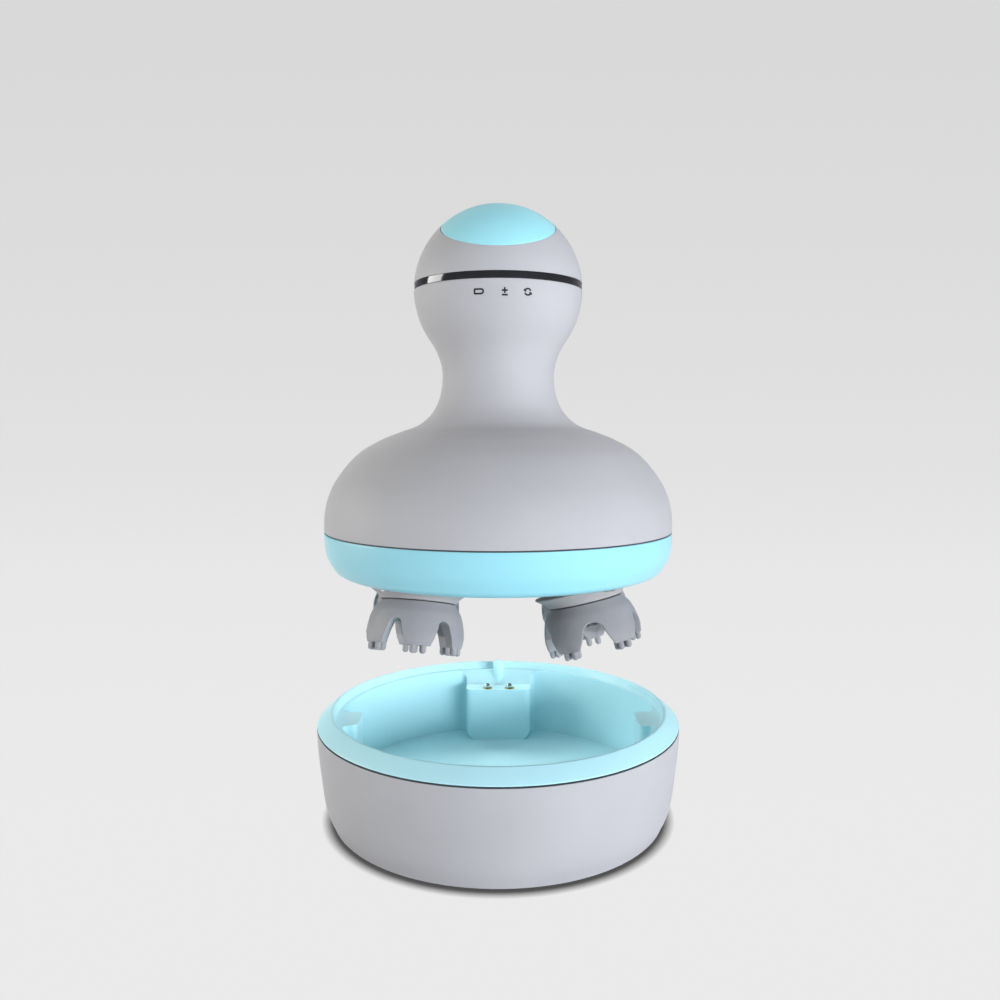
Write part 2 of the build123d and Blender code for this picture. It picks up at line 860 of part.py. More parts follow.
def sun_gear():
    gear = Pos(0, 0, gear_low_z) * involute_gear(sun_teeth, gear_height, gear_backlash)
    gear += rod(5.0, gear_low_z - 2.4, gear_low_z)
    for k in range(5):
        hole = rod(2.1, gear_low_z - 1, gear_top_z + 1)
        gear -= Rot(0, 0, 72 * k) * Pos(7.8, 0, 0) * hole
    return gear - shaft_section(gear_low_z - 4, gear_top_z + 1, 0.02)


def shaft_section(low, high, gap):
    """Round shaft with one flat."""
    shaft = rod(shaft_radius + gap, low, high)
    return shaft - block(shaft_radius - 0.5 + gap, 5, -5, 5, low - 1, high + 1)


def drive_shaft():
    return shaft_section(lower_plate_z, upper_plate_top_z + 4.0, 0)


def crank_gear(head):
    """Gear whose core carries a leaning pin hole, with a journal below and a stub above."""
    name, sx, sy, lean, fingers, first = head
    angle = degrees(atan2(sy * head_y, sx * head_x))
    gear = Rot(0, 0, mesh_turn(angle)) * Pos(0, 0, gear_low_z) * involute_gear(
        crank_teeth, gear_height, gear_backlash
    )
    gear += rod(journal_radius, lower_plate_z, gear_low_z)
    gear += rod(8.2, lower_plate_top_z + 0.8, gear_low_z)
    gear += rod(stub_radius, gear_top_z, upper_plate_top_z - 0.2)
    gear += rod(5.6, gear_top_z, upper_plate_z - 0.6)
    for k in range(6):
        hole = rod(1.5, gear_low_z - 1, gear_top_z + 1)
        gear -= Rot(0, 0, 60 * k) * Pos(10.8, 0, 0) * hole
    gear = Pos(sx * head_x, sy * head_y, 0) * gear
    return gear - leaned(head, rod(crank_pin_radius + 0.02, -30, crank_pin_top))


def crank_pin(head):
    """Steel pin pressed into the crank gear; its head keeps the swivel hub on."""
    pin = rod(crank_pin_radius, -crank_pin_low, crank_pin_top - 0.1)
    pin += rod(pin_head_radius, -crank_pin_low, -crank_pin_low + pin_head_height)
    return leaned(head, pin)


def lower_plate():
    """Lower chassis plate with bush seats, a shaft bearing seat and posts for the upper plate."""
    plate = rod(plate_radius, lower_plate_z, lower_plate_top_z)
    seat = journal_radius + running_gap + bush_wall + 0.02
    for head in heads:
        name, sx, sy, lean, fingers, first = head
        plate -= Pos(sx * head_x, sy * head_y, 0) * rod(seat, lower_plate_z - 1, lower_plate_top_z + 1)
    plate -= rod(shaft_radius + 1.5 + 0.02, lower_plate_z - 1, lower_plate_top_z + 1)
    for x, y in chassis_post_places():
        post = rod(post_radius, lower_plate_top_z, upper_plate_z)
        plate += Pos(x, y, 0) * post
        plate -= Pos(x, y, 0) * rod(screw_radius + 0.02, lower_plate_z - 1, lower_plate_z + 4)
        plate -= Pos(x, y, 0) * rod(screw_radius + 0.02, upper_plate_z - 6, upper_plate_z + 1)
    return plate


def upper_plate():
    plate = rod(plate_radius, upper_plate_z, upper_plate_top_z)
    seat = stub_radius + running_gap + bush_wall + 0.02
    for head in heads:
        name, sx, sy, lean, fingers, first = head
        plate -= Pos(sx * head_x, sy * head_y, 0) * rod(seat, upper_plate_z - 1, upper_plate_top_z + 1)
    plate -= rod(shaft_radius + 1.0, upper_plate_z - 1, upper_plate_top_z + 1)
    for x, y in chassis_post_places():
        plate -= Pos(x, y, 0) * rod(screw_radius + clear_gap, upper_plate_z - 1, upper_plate_top_z + 1)
    # cradles for the two cells
    for side in (-1, 1):
        for x in (-cradle_x, cradle_x):
            cradle = block(
                x - cradle_width / 2, x + cradle_width / 2,
                side * cell_y - cell_radius + 1.6, side * cell_y + cell_radius - 1.6,
                upper_plate_top_z, upper_plate_top_z + 4.0,
            )
            plate += cradle
        room = Rot(0, 90, 0) * Cylinder(cell_radius + clear_gap / 2, 2 * housing_radius)
        reach = cell_y + 2 * cell_radius
        above = block(-plate_radius, plate_radius, -reach, reach, upper_plate_top_z, cell_z + reach)
        plate -= (Pos(0, side * cell_y, cell_z) * room) & above
    return plate


def lower_bushes():
    bore = journal_radius + running_gap
    bush = tube(bore + bush_wall, bore, lower_plate_z, lower_plate_top_z)
    bush += tube(bore + bush_wall + 0.8, bore, lower_plate_top_z, lower_plate_top_z + 0.6)
    bushes = [Pos(h[1] * head_x, h[2] * head_y, 0) * bush for h in heads]
    shaft_bore = shaft_radius + running_gap
    bushes.append(tube(shaft_radius + 1.5, shaft_bore, lower_plate_z, lower_plate_top_z))
    return Compound(bushes)


def upper_bushes():
    bore = stub_radius + running_gap
    bush = tube(bore + bush_wall, bore, upper_plate_z, upper_plate_top_z)
    return Compound([Pos(h[1] * head_x, h[2] * head_y, 0) * bush for h in heads])


def chassis_screws():
    """Screws down through the upper plate into the posts."""
    one = Rot(180, 0, 0) * screw(0, 6.5)
    return Compound([Pos(x, y, upper_plate_top_z) * one for x, y in chassis_post_places()])


def gearbox():
    low = upper_plate_top_z
    box = rod(gearbox_radius, low, low + gearbox_height)
    box -= rod(shaft_radius + running_gap, low - 1, low + 4.2)
    return chamfer(box.edges().group_by(Axis.Z)[-1], 0.6)


def motor():
    low = upper_plate_top_z + gearbox_height
    body = rod(gearbox_radius - 0.2, low, low + motor_height)
    body = fillet(body.edges().group_by(Axis.Z)[-1], 1.2)
    body += rod(3.6, low + motor_height, low + motor_height + 1.8)
    for side in (-1, 1):
        body += block(side * 7 - 1.2, side * 7 + 1.2, -0.3, 0.3, low + motor_height - 0.5, low + motor_height + 3)
    return body


def motor_sleeve():
    """Rubber sleeve that steadies the motor in the neck."""
    low = upper_plate_top_z + gearbox_height + motor_height / 2
    return tube(neck_outer_radius - housing_wall - 0.2, gearbox_radius - 0.2 + 0.02, low, low + 10)


def cells():
    body = Rot(0, 90, 0) * Cylinder(cell_radius, cell_length - 1.5)
    tip = Pos(cell_length / 2 - 0.75 + 0.6, 0, 0) * Rot(0, 90, 0) * Cylinder(2.6, 1.2)
    cell = body + tip
    return Compound([Pos(0, s * cell_y, cell_z) * cell for s in (-1, 1)])


def cell_straps():
    """Straps that hold the two cells down in their cradles."""
    straps = []
    for side in (-1, 1):
        half = cell_radius + 3
        keep = block(
            -cell_length, cell_length, side * cell_y - half, side * cell_y + half,
            upper_plate_top_z, cell_z + half,
        )
        for x in (-strap_x, strap_x):
            arc = tube(cell_radius + 0.1 + strap_wall, cell_radius + 0.1, -strap_width / 2, strap_width / 2)
            straps.append(Pos(x, side * cell_y, cell_z) * Rot(0, 90, 0) * arc & keep)
    return Compound(straps)


# ---- Swivel heads, built about the swing centre with the claw pointing down ----


def head_hub():
    """Bearing hub on the crank pin with a disc that carries skirt and claw."""
    bore = crank_pin_radius + running_gap
    low = -(crank_pin_low - pin_head_height - 0.15)
    hub = tube(hub_radius, bore, low, -hub_top)
    disc_top = -(hub_disc_low - hub_disc_height)
    return hub + tube(hub_disc_radius, bore, -hub_disc_low, disc_top)


def ball_point(radius, angle):
    """Point of a sphere about the swing centre; the angle is from straight down."""
    return (radius * sin(radians(angle)), 0, -radius * cos(radians(angle)))


def head_skirt():
    """Swivel seal: a ball zone that turns in the plate's socket and a flared skirt below it."""
    join = 45.0
    middle = (join + ball_top_angle) / 2
    inner = ball_radius - ball_wall
    outer_low = ball_point(ball_radius, join)
    outer_high = ball_point(ball_radius, ball_top_angle)
    inner_low = ball_point(inner, join)
    inner_high = ball_point(inner, ball_top_angle)
    seat_r = hub_disc_radius + 0.02
    rim = (skirt_rim_radius, 0, -skirt_rim_low)
    neck = (neck_radius, 0, -neck_low)
    flare = Spline(rim, (12.0, 0, -13.3), neck, tangents=[(-0.9, 0, -1), (-0.35, 0, -1)])
    edges = [
        ThreePointArc(outer_low, ball_point(ball_radius, middle), outer_high),
        Line(outer_high, inner_high),
        ThreePointArc(inner_high, ball_point(inner, middle), inner_low),
        Line(inner_low, (seat_r, 0, inner_low[2])),
        Line((seat_r, 0, inner_low[2]), (seat_r, 0, -neck_low)),
        Line((seat_r, 0, -neck_low), neck),
        flare,
        Line(rim, (skirt_rim_radius - 0.3, 0, -skirt_rim_low + 0.35)),
        Line((skirt_rim_radius - 0.3, 0, -skirt_rim_low + 0.35), outer_low),
    ]
    return turned(*edges)


def head_claw(fingers, first):
    """Soft domed claw with rounded arches between its fingers and four nubs on each tip."""
    top = -claw_top
    low = -claw_low
    outer = Spline(
        (neck_radius - 0.2, 0, top - 0.1),
        (12.6, 0, top - 3.2),
        (claw_radius, 0, top - 8.6),
        (claw_radius - 0.25, 0, low),
        tangents=[(0.55, 0, -1), (-0.12, 0, -1)],
    )
    tip_inner = claw_radius - 0.25 - claw_wall
    inner = Spline(
        (tip_inner, 0, low),
        (claw_radius - claw_wall - 0.2, 0, top - 8.0),
        (8.6, 0, top - 4.2),
        (hub_radius + 0.02, 0, top - 2.6),
        tangents=[(0.05, 0, 1), (-1, 0, 0.25)],
    )
    claw = turned(
        outer,
        Line((claw_radius - 0.25, 0, low), (tip_inner, 0, low)),
        inner,
        Line((hub_radius + 0.02, 0, top - 2.6), (hub_radius + 0.02, 0, top)),
        Line((hub_radius + 0.02, 0, top), (neck_radius - 0.4, 0, top)),
        Line((neck_radius - 0.4, 0, top), (neck_radius - 0.2, 0, top - 0.1)),
    )
    claw = Rot(0, 0, first + 180 / fingers - 90) * claw
    # arches: round at the top and wider at the tips
    pitch = 2 * (claw_radius - 0.25) * sin(pi / fingers)
    low_half = (pitch - finger_width) / 2
    top_half = low_half - arch_flare
    centre = -arch_top - top_half
    past = 3.0
    past_half = low_half + arch_flare * past / (centre - low)
    arch = Pos(0, centre) * Circle(top_half)
    arch += make_face(
        Polyline(
            (-top_half, centre),
            (top_half, centre),
            (past_half, low - past),
            (-past_half, low - past),
            close=True,
        )
    )
    cutter = Rot(90, 0, 0) * extrude(arch, claw_radius + 3)
    cutter -= rod(hub_radius + 1, -60, 60)
    for k in range(fingers):
        claw -= Rot(0, 0, first + 360 * (k + 0.5) / fingers) * cutter
    # nubs
    nub = rod(nub_radius, low - nub_length, low + 0.3)
    nub = fillet(nub.edges().group_by(Axis.Z)[0], nub_radius * 0.9)
    ring_radius = claw_radius - 0.25 - claw_wall / 2
    for k in range(fingers):
        for dr in (-0.5, 0.5):
            for ds in (-0.5, 0.5):
                place = Pos(ds * nub_pitch_side, -(ring_radius + dr * nub_pitch_radial), 0)
                claw += Rot(0, 0, first + 360 * k / fingers) * place * nub
    return claw


save(dock_shell(), "dock_shell")
save(dock_liner(), "dock_liner")
save(dock_base(), "dock_base")
save(dock_pads(), "dock_foot_pads")
save(dock_screws(), "dock_screws")
save(dock_board(), "dock_circuit_board")
save(dock_socket(), "dock_power_socket")
save(contact_board(), "dock_contact_board")
save(pin_barrels(), "dock_pin_barrels")
save(charging_pin(-1), "charging_pin_left")
save(charging_pin(1), "charging_pin_right")
print("dock done")

save(upper_housing(), "upper_housing")
save(indicator_band(), "indicator_band")
save(knob_cover(), "knob_cover")
save(button_cap(), "button_cap")
save(button_spring(), "button_spring")
save(button_switch(), "button_switch")
save(switch_bracket(), "switch_bracket")
save(control_board(), "control_board")
save(status_lights(), "status_lights")
save(blue_ring(), "lower_ring")
save(seam_gasket(), "seam_gasket")
save(base_plate(), "base_plate")
save(contact_pads(), "contact_pads")
save(case_screws(), "case_screws")
print("housing done")

save(sun_gear(), "sun_gear")
save(drive_shaft(), "drive_shaft")
save(lower_plate(), "chassis_lower_plate")
save(upper_plate(), "chassis_upper_plate")
save(lower_bushes(), "lower_bushes")
save(upper_bushes(), "upper_bushes")
save(chassis_screws(), "chassis_screws")
save(gearbox(), "gearbox")
save(motor(), "motor")
save(motor_sleeve(), "motor_sleeve")
save(cells(), "battery_cells")
save(cell_straps(), "battery_straps")
print("drive done")

for head in heads:
    name, sx, sy, lean, fingers, first = head
    save(crank_gear(head), f"crank_gear_{name}")
    save(crank_pin(head), f"crank_pin_{name}")
    save(leaned(head, head_hub()), f"head_hub_{name}")
    save(leaned(head, head_skirt()), f"head_skirt_{name}")
    save(leaned(head, head_claw(fingers, first)), f"head_claw_{name}")
print("heads done")
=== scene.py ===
import json
from math import asin, atan2, cos, degrees, hypot, pi, radians, sin, sqrt

import bmesh
import bpy
from mathutils import Matrix, Vector
from mathutils.geometry import interpolate_bezier


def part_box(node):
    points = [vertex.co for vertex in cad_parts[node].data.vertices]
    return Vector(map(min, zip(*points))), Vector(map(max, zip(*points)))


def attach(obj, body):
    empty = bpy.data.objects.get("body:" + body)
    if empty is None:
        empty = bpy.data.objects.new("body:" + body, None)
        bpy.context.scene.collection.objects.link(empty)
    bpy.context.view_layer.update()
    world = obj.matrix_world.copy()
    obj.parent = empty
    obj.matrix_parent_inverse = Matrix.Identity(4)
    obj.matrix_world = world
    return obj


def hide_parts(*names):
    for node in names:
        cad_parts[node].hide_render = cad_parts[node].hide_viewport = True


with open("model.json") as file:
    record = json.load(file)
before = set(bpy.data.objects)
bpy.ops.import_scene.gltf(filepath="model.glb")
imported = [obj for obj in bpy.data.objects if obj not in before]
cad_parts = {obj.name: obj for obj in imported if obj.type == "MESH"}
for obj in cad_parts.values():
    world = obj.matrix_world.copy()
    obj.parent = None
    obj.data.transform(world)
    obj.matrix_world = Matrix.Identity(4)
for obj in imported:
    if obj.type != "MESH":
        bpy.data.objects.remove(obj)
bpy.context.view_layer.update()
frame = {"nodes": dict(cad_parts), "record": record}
nodes = frame["nodes"]
print("frame loaded")

mm = 0.001
turnSteps = 192


# small helpers for outlines, in millimetres


def arcPoints(centre, radius, startDeg, endDeg, count):
    # points on a round stretch, both ends included
    turns = [radians(startDeg + (endDeg - startDeg) * k / count) for k in range(count + 1)]
    return [(centre[0] + radius * cos(t), centre[1] + radius * sin(t)) for t in turns]


def smoothLine(points, startDir, endDir, perSpan=10):
    # a Bezier line through the points, leaving and arriving in the given directions
    last = len(points) - 1
    dirs = []
    for i in range(last + 1):
        if i == 0:
            d = Vector(startDir)
        elif i == last:
            d = Vector(endDir)
        else:
            d = Vector(points[i + 1]) - Vector(points[i - 1])
        dirs.append(d.normalized())
    line = [Vector(points[0])]
    for i in range(last):
        a, b = Vector(points[i]), Vector(points[i + 1])
        reach = (b - a).length / 3
        pulls = (a, a + dirs[i] * reach, b - dirs[i + 1] * reach, b)
        span = interpolate_bezier(*[p.to_3d() for p in pulls], perSpan + 1)
        line += [p.to_2d() for p in span[1:]]
    return [(p.x, p.y) for p in line]


# small helpers for meshes


def turnOutline(outline, steps=turnSteps, closed=True):
    # spins an outline of (radius, height) once round Z
    bm = bmesh.new()
    verts = [bm.verts.new((r * mm, 0, z * mm)) for r, z in outline]
    edges = [bm.edges.new(pair) for pair in zip(verts, verts[1:])]
    if closed:
        edges.append(bm.edges.new((verts[-1], verts[0])))
    bmesh.ops.spin(
        bm, geom=verts + edges, cent=(0, 0, 0), axis=(0, 0, 1), angle=2 * pi, steps=steps, use_merge=True
    )
    tidyMesh(bm)
    return bm


def tidyMesh(bm, weld=0.002):
    # welds points that all but meet, drops faces without area and turns the rest outwards
    bmesh.ops.remove_doubles(bm, verts=bm.verts, dist=weld * mm)
    bmesh.ops.dissolve_degenerate(bm, dist=weld / 2 * mm, edges=bm.edges)
    bmesh.ops.recalc_face_normals(bm, faces=bm.faces)


def bevel(bm, geom, width, segments, affect="EDGES"):
    bmesh.ops.bevel(
        bm, geom=geom, offset=width * mm, offset_type="OFFSET", segments=segments,
        profile=0.5, affect=affect, material=-1, clamp_overlap=True,
    )


def softenEdges(bm, width, limitDeg=28, segments=3, keep=None):
    # rounds the sharp edges, or those of them that pass the test
    limit = radians(limitDeg)
    sharp = [e for e in bm.edges if len(e.link_faces) == 2 and e.calc_face_angle(0) > limit]
    if keep:
        sharp = [e for e in sharp if keep(e)]
    bevel(bm, sharp, width, segments)


def boxMesh(x0, x1, y0, y1, z0, z1):
    bm = bmesh.new()
    bmesh.ops.create_cube(bm, size=1)
    bmesh.ops.scale(bm, vec=((x1 - x0) * mm, (y1 - y0) * mm, (z1 - z0) * mm), verts=bm.verts)
    centre = Vector(((x0 + x1) / 2, (y0 + y1) / 2, (z0 + z1) / 2)) * mm
    bmesh.ops.translate(bm, vec=centre, verts=bm.verts)
    return bm


def postMesh(radius, low, high, sides=48):
    bm = bmesh.new()
    bmesh.ops.create_cone(
        bm, cap_ends=True, segments=sides, radius1=radius * mm, radius2=radius * mm, depth=(high - low) * mm
    )
    bmesh.ops.translate(bm, vec=(0, 0, (low + high) / 2 * mm), verts=bm.verts)
    return bm


def moved(bm, matrix):
    bmesh.ops.transform(bm, matrix=matrix, verts=bm.verts)
    return bm


def joined(*parts):
    # several meshes as one
    whole = bmesh.new()
    for part in parts:
        loose = bpy.data.meshes.new("loose")
        part.to_mesh(loose)
        part.free()
        whole.from_mesh(loose)
        bpy.data.meshes.remove(loose)
    return whole


def raiseFaces(bm, height):
    # gives flat faces a thickness
    raised = bmesh.ops.extrude_face_region(bm, geom=list(bm.faces))
    top = [v for v in raised["geom"] if isinstance(v, bmesh.types.BMVert)]
    bmesh.ops.translate(bm, vec=(0, 0, height * mm), verts=top)
    bmesh.ops.recalc_face_normals(bm, faces=bm.faces)


def plateMesh(outline, low, high):
    # a flat outline of (x, y), given a thickness
    bm = bmesh.new()
    bm.faces.new([bm.verts.new((x * mm, y * mm, low * mm)) for x, y in outline])
    raiseFaces(bm, high - low)
    return bm


def cutBelow(bm, level):
    # takes away everything under a level, and leaves the cut open
    bmesh.ops.bisect_plane(
        bm, geom=bm.verts[:] + bm.edges[:] + bm.faces[:], plane_co=(0, 0, level * mm),
        plane_no=(0, 0, -1), clear_outer=True,
    )


def meshObject(name, bm):
    data = bpy.data.meshes.new(name)
    bm.to_mesh(data)
    bm.free()
    obj = bpy.data.objects.new(name, data)
    bpy.context.scene.collection.objects.link(obj)
    return obj


def settled(obj):
    # works the modifiers into the object's mesh
    graph = bpy.context.evaluated_depsgraph_get()
    data = bpy.data.meshes.new_from_object(obj.evaluated_get(graph), depsgraph=graph)
    obj.modifiers.clear()
    old = obj.data
    obj.data = data
    bpy.data.meshes.remove(old)


def booleanWith(obj, toolMesh, how="DIFFERENCE"):
    tool = meshObject("tool", toolMesh)
    cut = obj.modifiers.new("cut", "BOOLEAN")
    cut.operation = how
    cut.solver = "EXACT"
    cut.object = tool
    settled(obj)
    bpy.data.objects.remove(tool)


def finishPiece(obj, material, body, replaced=(), sharpDeg=35):
    obj.data.materials.clear()
    obj.data.materials.append(material)
    obj.data.shade_smooth()
    obj.data.set_sharp_from_angle(angle=radians(sharpDeg))
    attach(obj, body)
    if replaced:
        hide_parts(*replaced)


# materials; the colours are as a screen shows them, 0 to 255

colours = {
    "shellGrey": (181, 180, 182),
    "aquaLiner": (188, 235, 243),
    "aquaCap": (164, 229, 238),
    "aquaRing": (151, 214, 226),
    "plateGrey": (150, 149, 152),
    "innerWhite": (226, 226, 222),
    "hubDark": (92, 92, 96),
    "switchBlack": (42, 42, 46),
    "gearCream": (238, 228, 204),
    "cellWrap": (68, 120, 176),
    "lensWhite": (246, 246, 236),
    "printInk": (34, 34, 40),
    # dark rubber of the seam's gasket, also painted on the dock shell's top face as shade in the gap under
    # the liner
    "seamDarkAndShade": (70, 68, 72),
    "padRubber": (52, 52, 54),
    "clawGrey": (150, 149, 152),
    "skirtGrey": (165, 163, 163),
    "bandDeep": (30, 30, 33),
    "bandHaze": (38, 38, 42),
    "boardDark": (24, 92, 52),
    "boardLight": (28, 102, 58),
    "boardTrack": (62, 132, 74),
    "steel": (196, 196, 200),
    "drawnSteel": (206, 206, 210),
    "gold": (228, 190, 118),
    "silver": (232, 230, 228),
    "bronze": (184, 146, 98),
}


def linear(r, g, b):
    # from a screen's colour to the shader's linear one
    parts = [c / 255 for c in (r, g, b)]
    return [c / 12.92 if c <= 0.04045 else ((c + 0.055) / 1.055) ** 2.4 for c in parts] + [1.0]


def nodeMaterial(name):
    material = bpy.data.materials.new(name)
    material.use_nodes = True
    tree = material.node_tree
    return material, tree, tree.nodes["Principled BSDF"]


def objectNoise(tree, scale, detail=3.0, roughness=0.5, stretch=(1, 1, 1)):
    place = tree.nodes.new("ShaderNodeTexCoord")
    mapping = tree.nodes.new("ShaderNodeMapping")
    mapping.inputs["Scale"].default_value = stretch
    noise = tree.nodes.new("ShaderNodeTexNoise")
    noise.inputs["Scale"].default_value = scale
    noise.inputs["Detail"].default_value = detail
    noise.inputs["Roughness"].default_value = roughness
    tree.links.new(place.outputs["Object"], mapping.inputs["Vector"])
    tree.links.new(mapping.outputs["Vector"], noise.inputs["Vector"])
    return noise


def ramp(tree, source, low, high, fromPos=0.3, toPos=0.7):
    node = tree.nodes.new("ShaderNodeValToRGB")
    node.color_ramp.elements[0].position = fromPos
    node.color_ramp.elements[1].position = toPos
    node.color_ramp.elements[0].color = low
    node.color_ramp.elements[1].color = high
    tree.links.new(source, node.inputs["Fac"])
    return node


def grey(value):
    return [value, value, value, 1.0]


def addBump(tree, shader, height, strength, depth):
    bump = tree.nodes.new("ShaderNodeBump")
    bump.inputs["Strength"].default_value = strength
    bump.inputs["Distance"].default_value = depth * mm
    tree.links.new(height, bump.inputs["Height"])
    tree.links.new(bump.outputs["Normal"], shader.inputs["Normal"])


def shade(colour, factor):
    return [c * factor for c in colour[:3]] + [1.0]


def mouldedPlastic(name, roughness, grain=1.0, variation=0.03, coat=0.0):
    # satin moulding: a faint cloudiness in colour and gloss and a fine spark-eroded grain
    material, tree, shader = nodeMaterial(name)
    colour = linear(*colours[name])
    cloud = objectNoise(tree, 38, detail=4)
    tint = ramp(tree, cloud.outputs["Fac"], shade(colour, 1 - variation), shade(colour, 1 + variation))
    tree.links.new(tint.outputs["Color"], shader.inputs["Base Color"])
    patch = objectNoise(tree, 90, detail=5, roughness=0.6)
    gloss = ramp(tree, patch.outputs["Fac"], grey(roughness - 0.04), grey(roughness + 0.04))
    tree.links.new(gloss.outputs["Color"], shader.inputs["Roughness"])
    fine = objectNoise(tree, 5200, detail=2, roughness=0.7)
    addBump(tree, shader, fine.outputs["Fac"], 0.25 * grain, 0.012)
    shader.inputs["Specular IOR Level"].default_value = 0.42
    if coat:
        shader.inputs["Coat Weight"].default_value = coat
        shader.inputs["Coat Roughness"].default_value = 0.25
    return material


def silicone(name, roughness):
    # soft matt rubber: slight scatter, faint flow marks and a dusty bloom
    material, tree, shader = nodeMaterial(name)
    colour = linear(*colours[name])
    cloud = objectNoise(tree, 120, detail=5, roughness=0.6)
    tint = ramp(tree, cloud.outputs["Fac"], shade(colour, 0.93), shade(colour, 1.05))
    tree.links.new(tint.outputs["Color"], shader.inputs["Base Color"])
    patch = objectNoise(tree, 260, detail=3)
    gloss = ramp(tree, patch.outputs["Fac"], grey(roughness - 0.06), grey(roughness + 0.05))
    tree.links.new(gloss.outputs["Color"], shader.inputs["Roughness"])
    fine = objectNoise(tree, 3800, detail=3, roughness=0.6)
    addBump(tree, shader, fine.outputs["Fac"], 0.2, 0.015)
    shader.inputs["Subsurface Weight"].default_value = 0.08
    shader.inputs["Subsurface Radius"].default_value = (0.004, 0.003, 0.0025)
    shader.inputs["Subsurface Scale"].default_value = 0.4
    shader.inputs["Sheen Weight"].default_value = 0.12
    shader.inputs["Sheen Roughness"].default_value = 0.5
    return material


def metal(name, roughness, stretch=(1, 1, 1), scratch=0.15):
    # machined metal with fine marks, which stretch can draw out in one direction
    material, tree, shader = nodeMaterial(name)
    colour = linear(*colours[name])
    shader.inputs["Metallic"].default_value = 1.0
    cloud = objectNoise(tree, 300, detail=4)
    tint = ramp(tree, cloud.outputs["Fac"], shade(colour, 0.88), shade(colour, 1.06))
    tree.links.new(tint.outputs["Color"], shader.inputs["Base Color"])
    marks = objectNoise(tree, 900, detail=3, roughness=0.7, stretch=stretch)
    gloss = ramp(tree, marks.outputs["Fac"], grey(roughness * 0.7), grey(roughness * 1.4))
    tree.links.new(gloss.outputs["Color"], shader.inputs["Roughness"])
    addBump(tree, shader, marks.outputs["Fac"], scratch, 0.01)
    return material


def glossyBlack(name):
    # polished smoked band
    material, tree, shader = nodeMaterial(name)
    cloud = objectNoise(tree, 60, detail=2)
    tint = ramp(tree, cloud.outputs["Fac"], linear(*colours["bandDeep"]), linear(*colours["bandHaze"]))
    tree.links.new(tint.outputs["Color"], shader.inputs["Base Color"])
    smear = objectNoise(tree, 150, detail=4)
    gloss = ramp(tree, smear.outputs["Fac"], grey(0.07), grey(0.13))
    tree.links.new(gloss.outputs["Color"], shader.inputs["Roughness"])
    shader.inputs["Coat Weight"].default_value = 0.6
    shader.inputs["Coat Roughness"].default_value = 0.03
    return material


def circuitBoard(name):
    # green solder mask over faint copper tracks
    material, tree, shader = nodeMaterial(name)
    place = tree.nodes.new("ShaderNodeTexCoord")
    tracks = tree.nodes.new("ShaderNodeTexBrick")
    tracks.inputs["Scale"].default_value = 420
    tracks.inputs["Mortar Size"].default_value = 0.03
    tracks.inputs["Color1"].default_value = linear(*colours["boardDark"])
    tracks.inputs["Color2"].default_value = linear(*colours["boardLight"])
    tracks.inputs["Mortar"].default_value = linear(*colours["boardTrack"])
    tree.links.new(place.outputs["Object"], tracks.inputs["Vector"])
    tree.links.new(tracks.outputs["Color"], shader.inputs["Base Color"])
    addBump(tree, shader, tracks.outputs["Fac"], 0.3, 0.02)
    shader.inputs["Roughness"].default_value = 0.35
    shader.inputs["Coat Weight"].default_value = 0.5
    return material


shellGrey = mouldedPlastic("shellGrey", 0.6)
aquaLiner = mouldedPlastic("aquaLiner", 0.4, variation=0.02)
aquaCap = mouldedPlastic("aquaCap", 0.36, variation=0.02, coat=0.15)
aquaRing = mouldedPlastic("aquaRing", 0.36, variation=0.02, coat=0.15)
plateGrey = mouldedPlastic("plateGrey", 0.55, grain=2.0)
innerWhite = mouldedPlastic("innerWhite", 0.5)
hubDark = mouldedPlastic("hubDark", 0.45)
switchBlack = mouldedPlastic("switchBlack", 0.4)
gearCream = mouldedPlastic("gearCream", 0.32, coat=0.3)
cellWrap = mouldedPlastic("cellWrap", 0.22, grain=0.3, coat=0.6)
lensWhite = mouldedPlastic("lensWhite", 0.15, grain=0.2, coat=0.8)
printInk = mouldedPlastic("printInk", 0.5, grain=0.3)
# the gasket's dark rubber; also used as painted shade on the dock shell's top face
seamDarkAndShade = silicone("seamDarkAndShade", 0.6)
padRubber = silicone("padRubber", 0.75)
clawGrey = silicone("clawGrey", 0.55)
skirtGrey = silicone("skirtGrey", 0.6)
bandBlack = glossyBlack("bandBlack")
boardGreen = circuitBoard("boardGreen")
steel = metal("steel", 0.28)
drawnSteel = metal("drawnSteel", 0.22, stretch=(1, 1, 12))
gold = metal("gold", 0.2)
silver = metal("silver", 0.12, scratch=0.05)
bronze = metal("bronze", 0.4)
print("materials made")


# dock shell

dockShell = {
    "side": [(50.9, 1.3), (52.6, 5.2), (53.5, 9.8), (54.15, 15.6), (54.7, 20.4), (55.05, 25), (55.2, 29)],
    "foot": 0.5,
    "top": 29.0,
    "wall": 2.0,
    "rounding": 0.22,
    "footRadius": 0.8,
    "socketGap": 0.2,
    "socketSpan": (45, 58),
}


def slotMesh(halfX, halfZ, centreZ, frontY, backY):
    # a rounded slot that runs along Y
    right = arcPoints((halfX - halfZ, 0), halfZ, -90, 90, 12)
    left = arcPoints((halfZ - halfX, 0), halfZ, 90, 270, 12)
    bm = plateMesh(right + left, frontY, backY)
    turn = Matrix.Rotation(radians(90), 4, "X") @ Matrix.Scale(-1, 4, (0, 0, 1))
    return moved(bm, Matrix.Translation((0, 0, centreZ * mm)) @ turn)


def paintShadeAtLevel(obj, level):
    # faces that lie in a level take the seam's dark colour: painted shade down in the gap between shell and
    # liner
    obj.data.materials.append(seamDarkAndShade)
    for face in obj.data.polygons:
        if abs(face.center.z / mm - level) < 0.02:
            face.material_index = 1


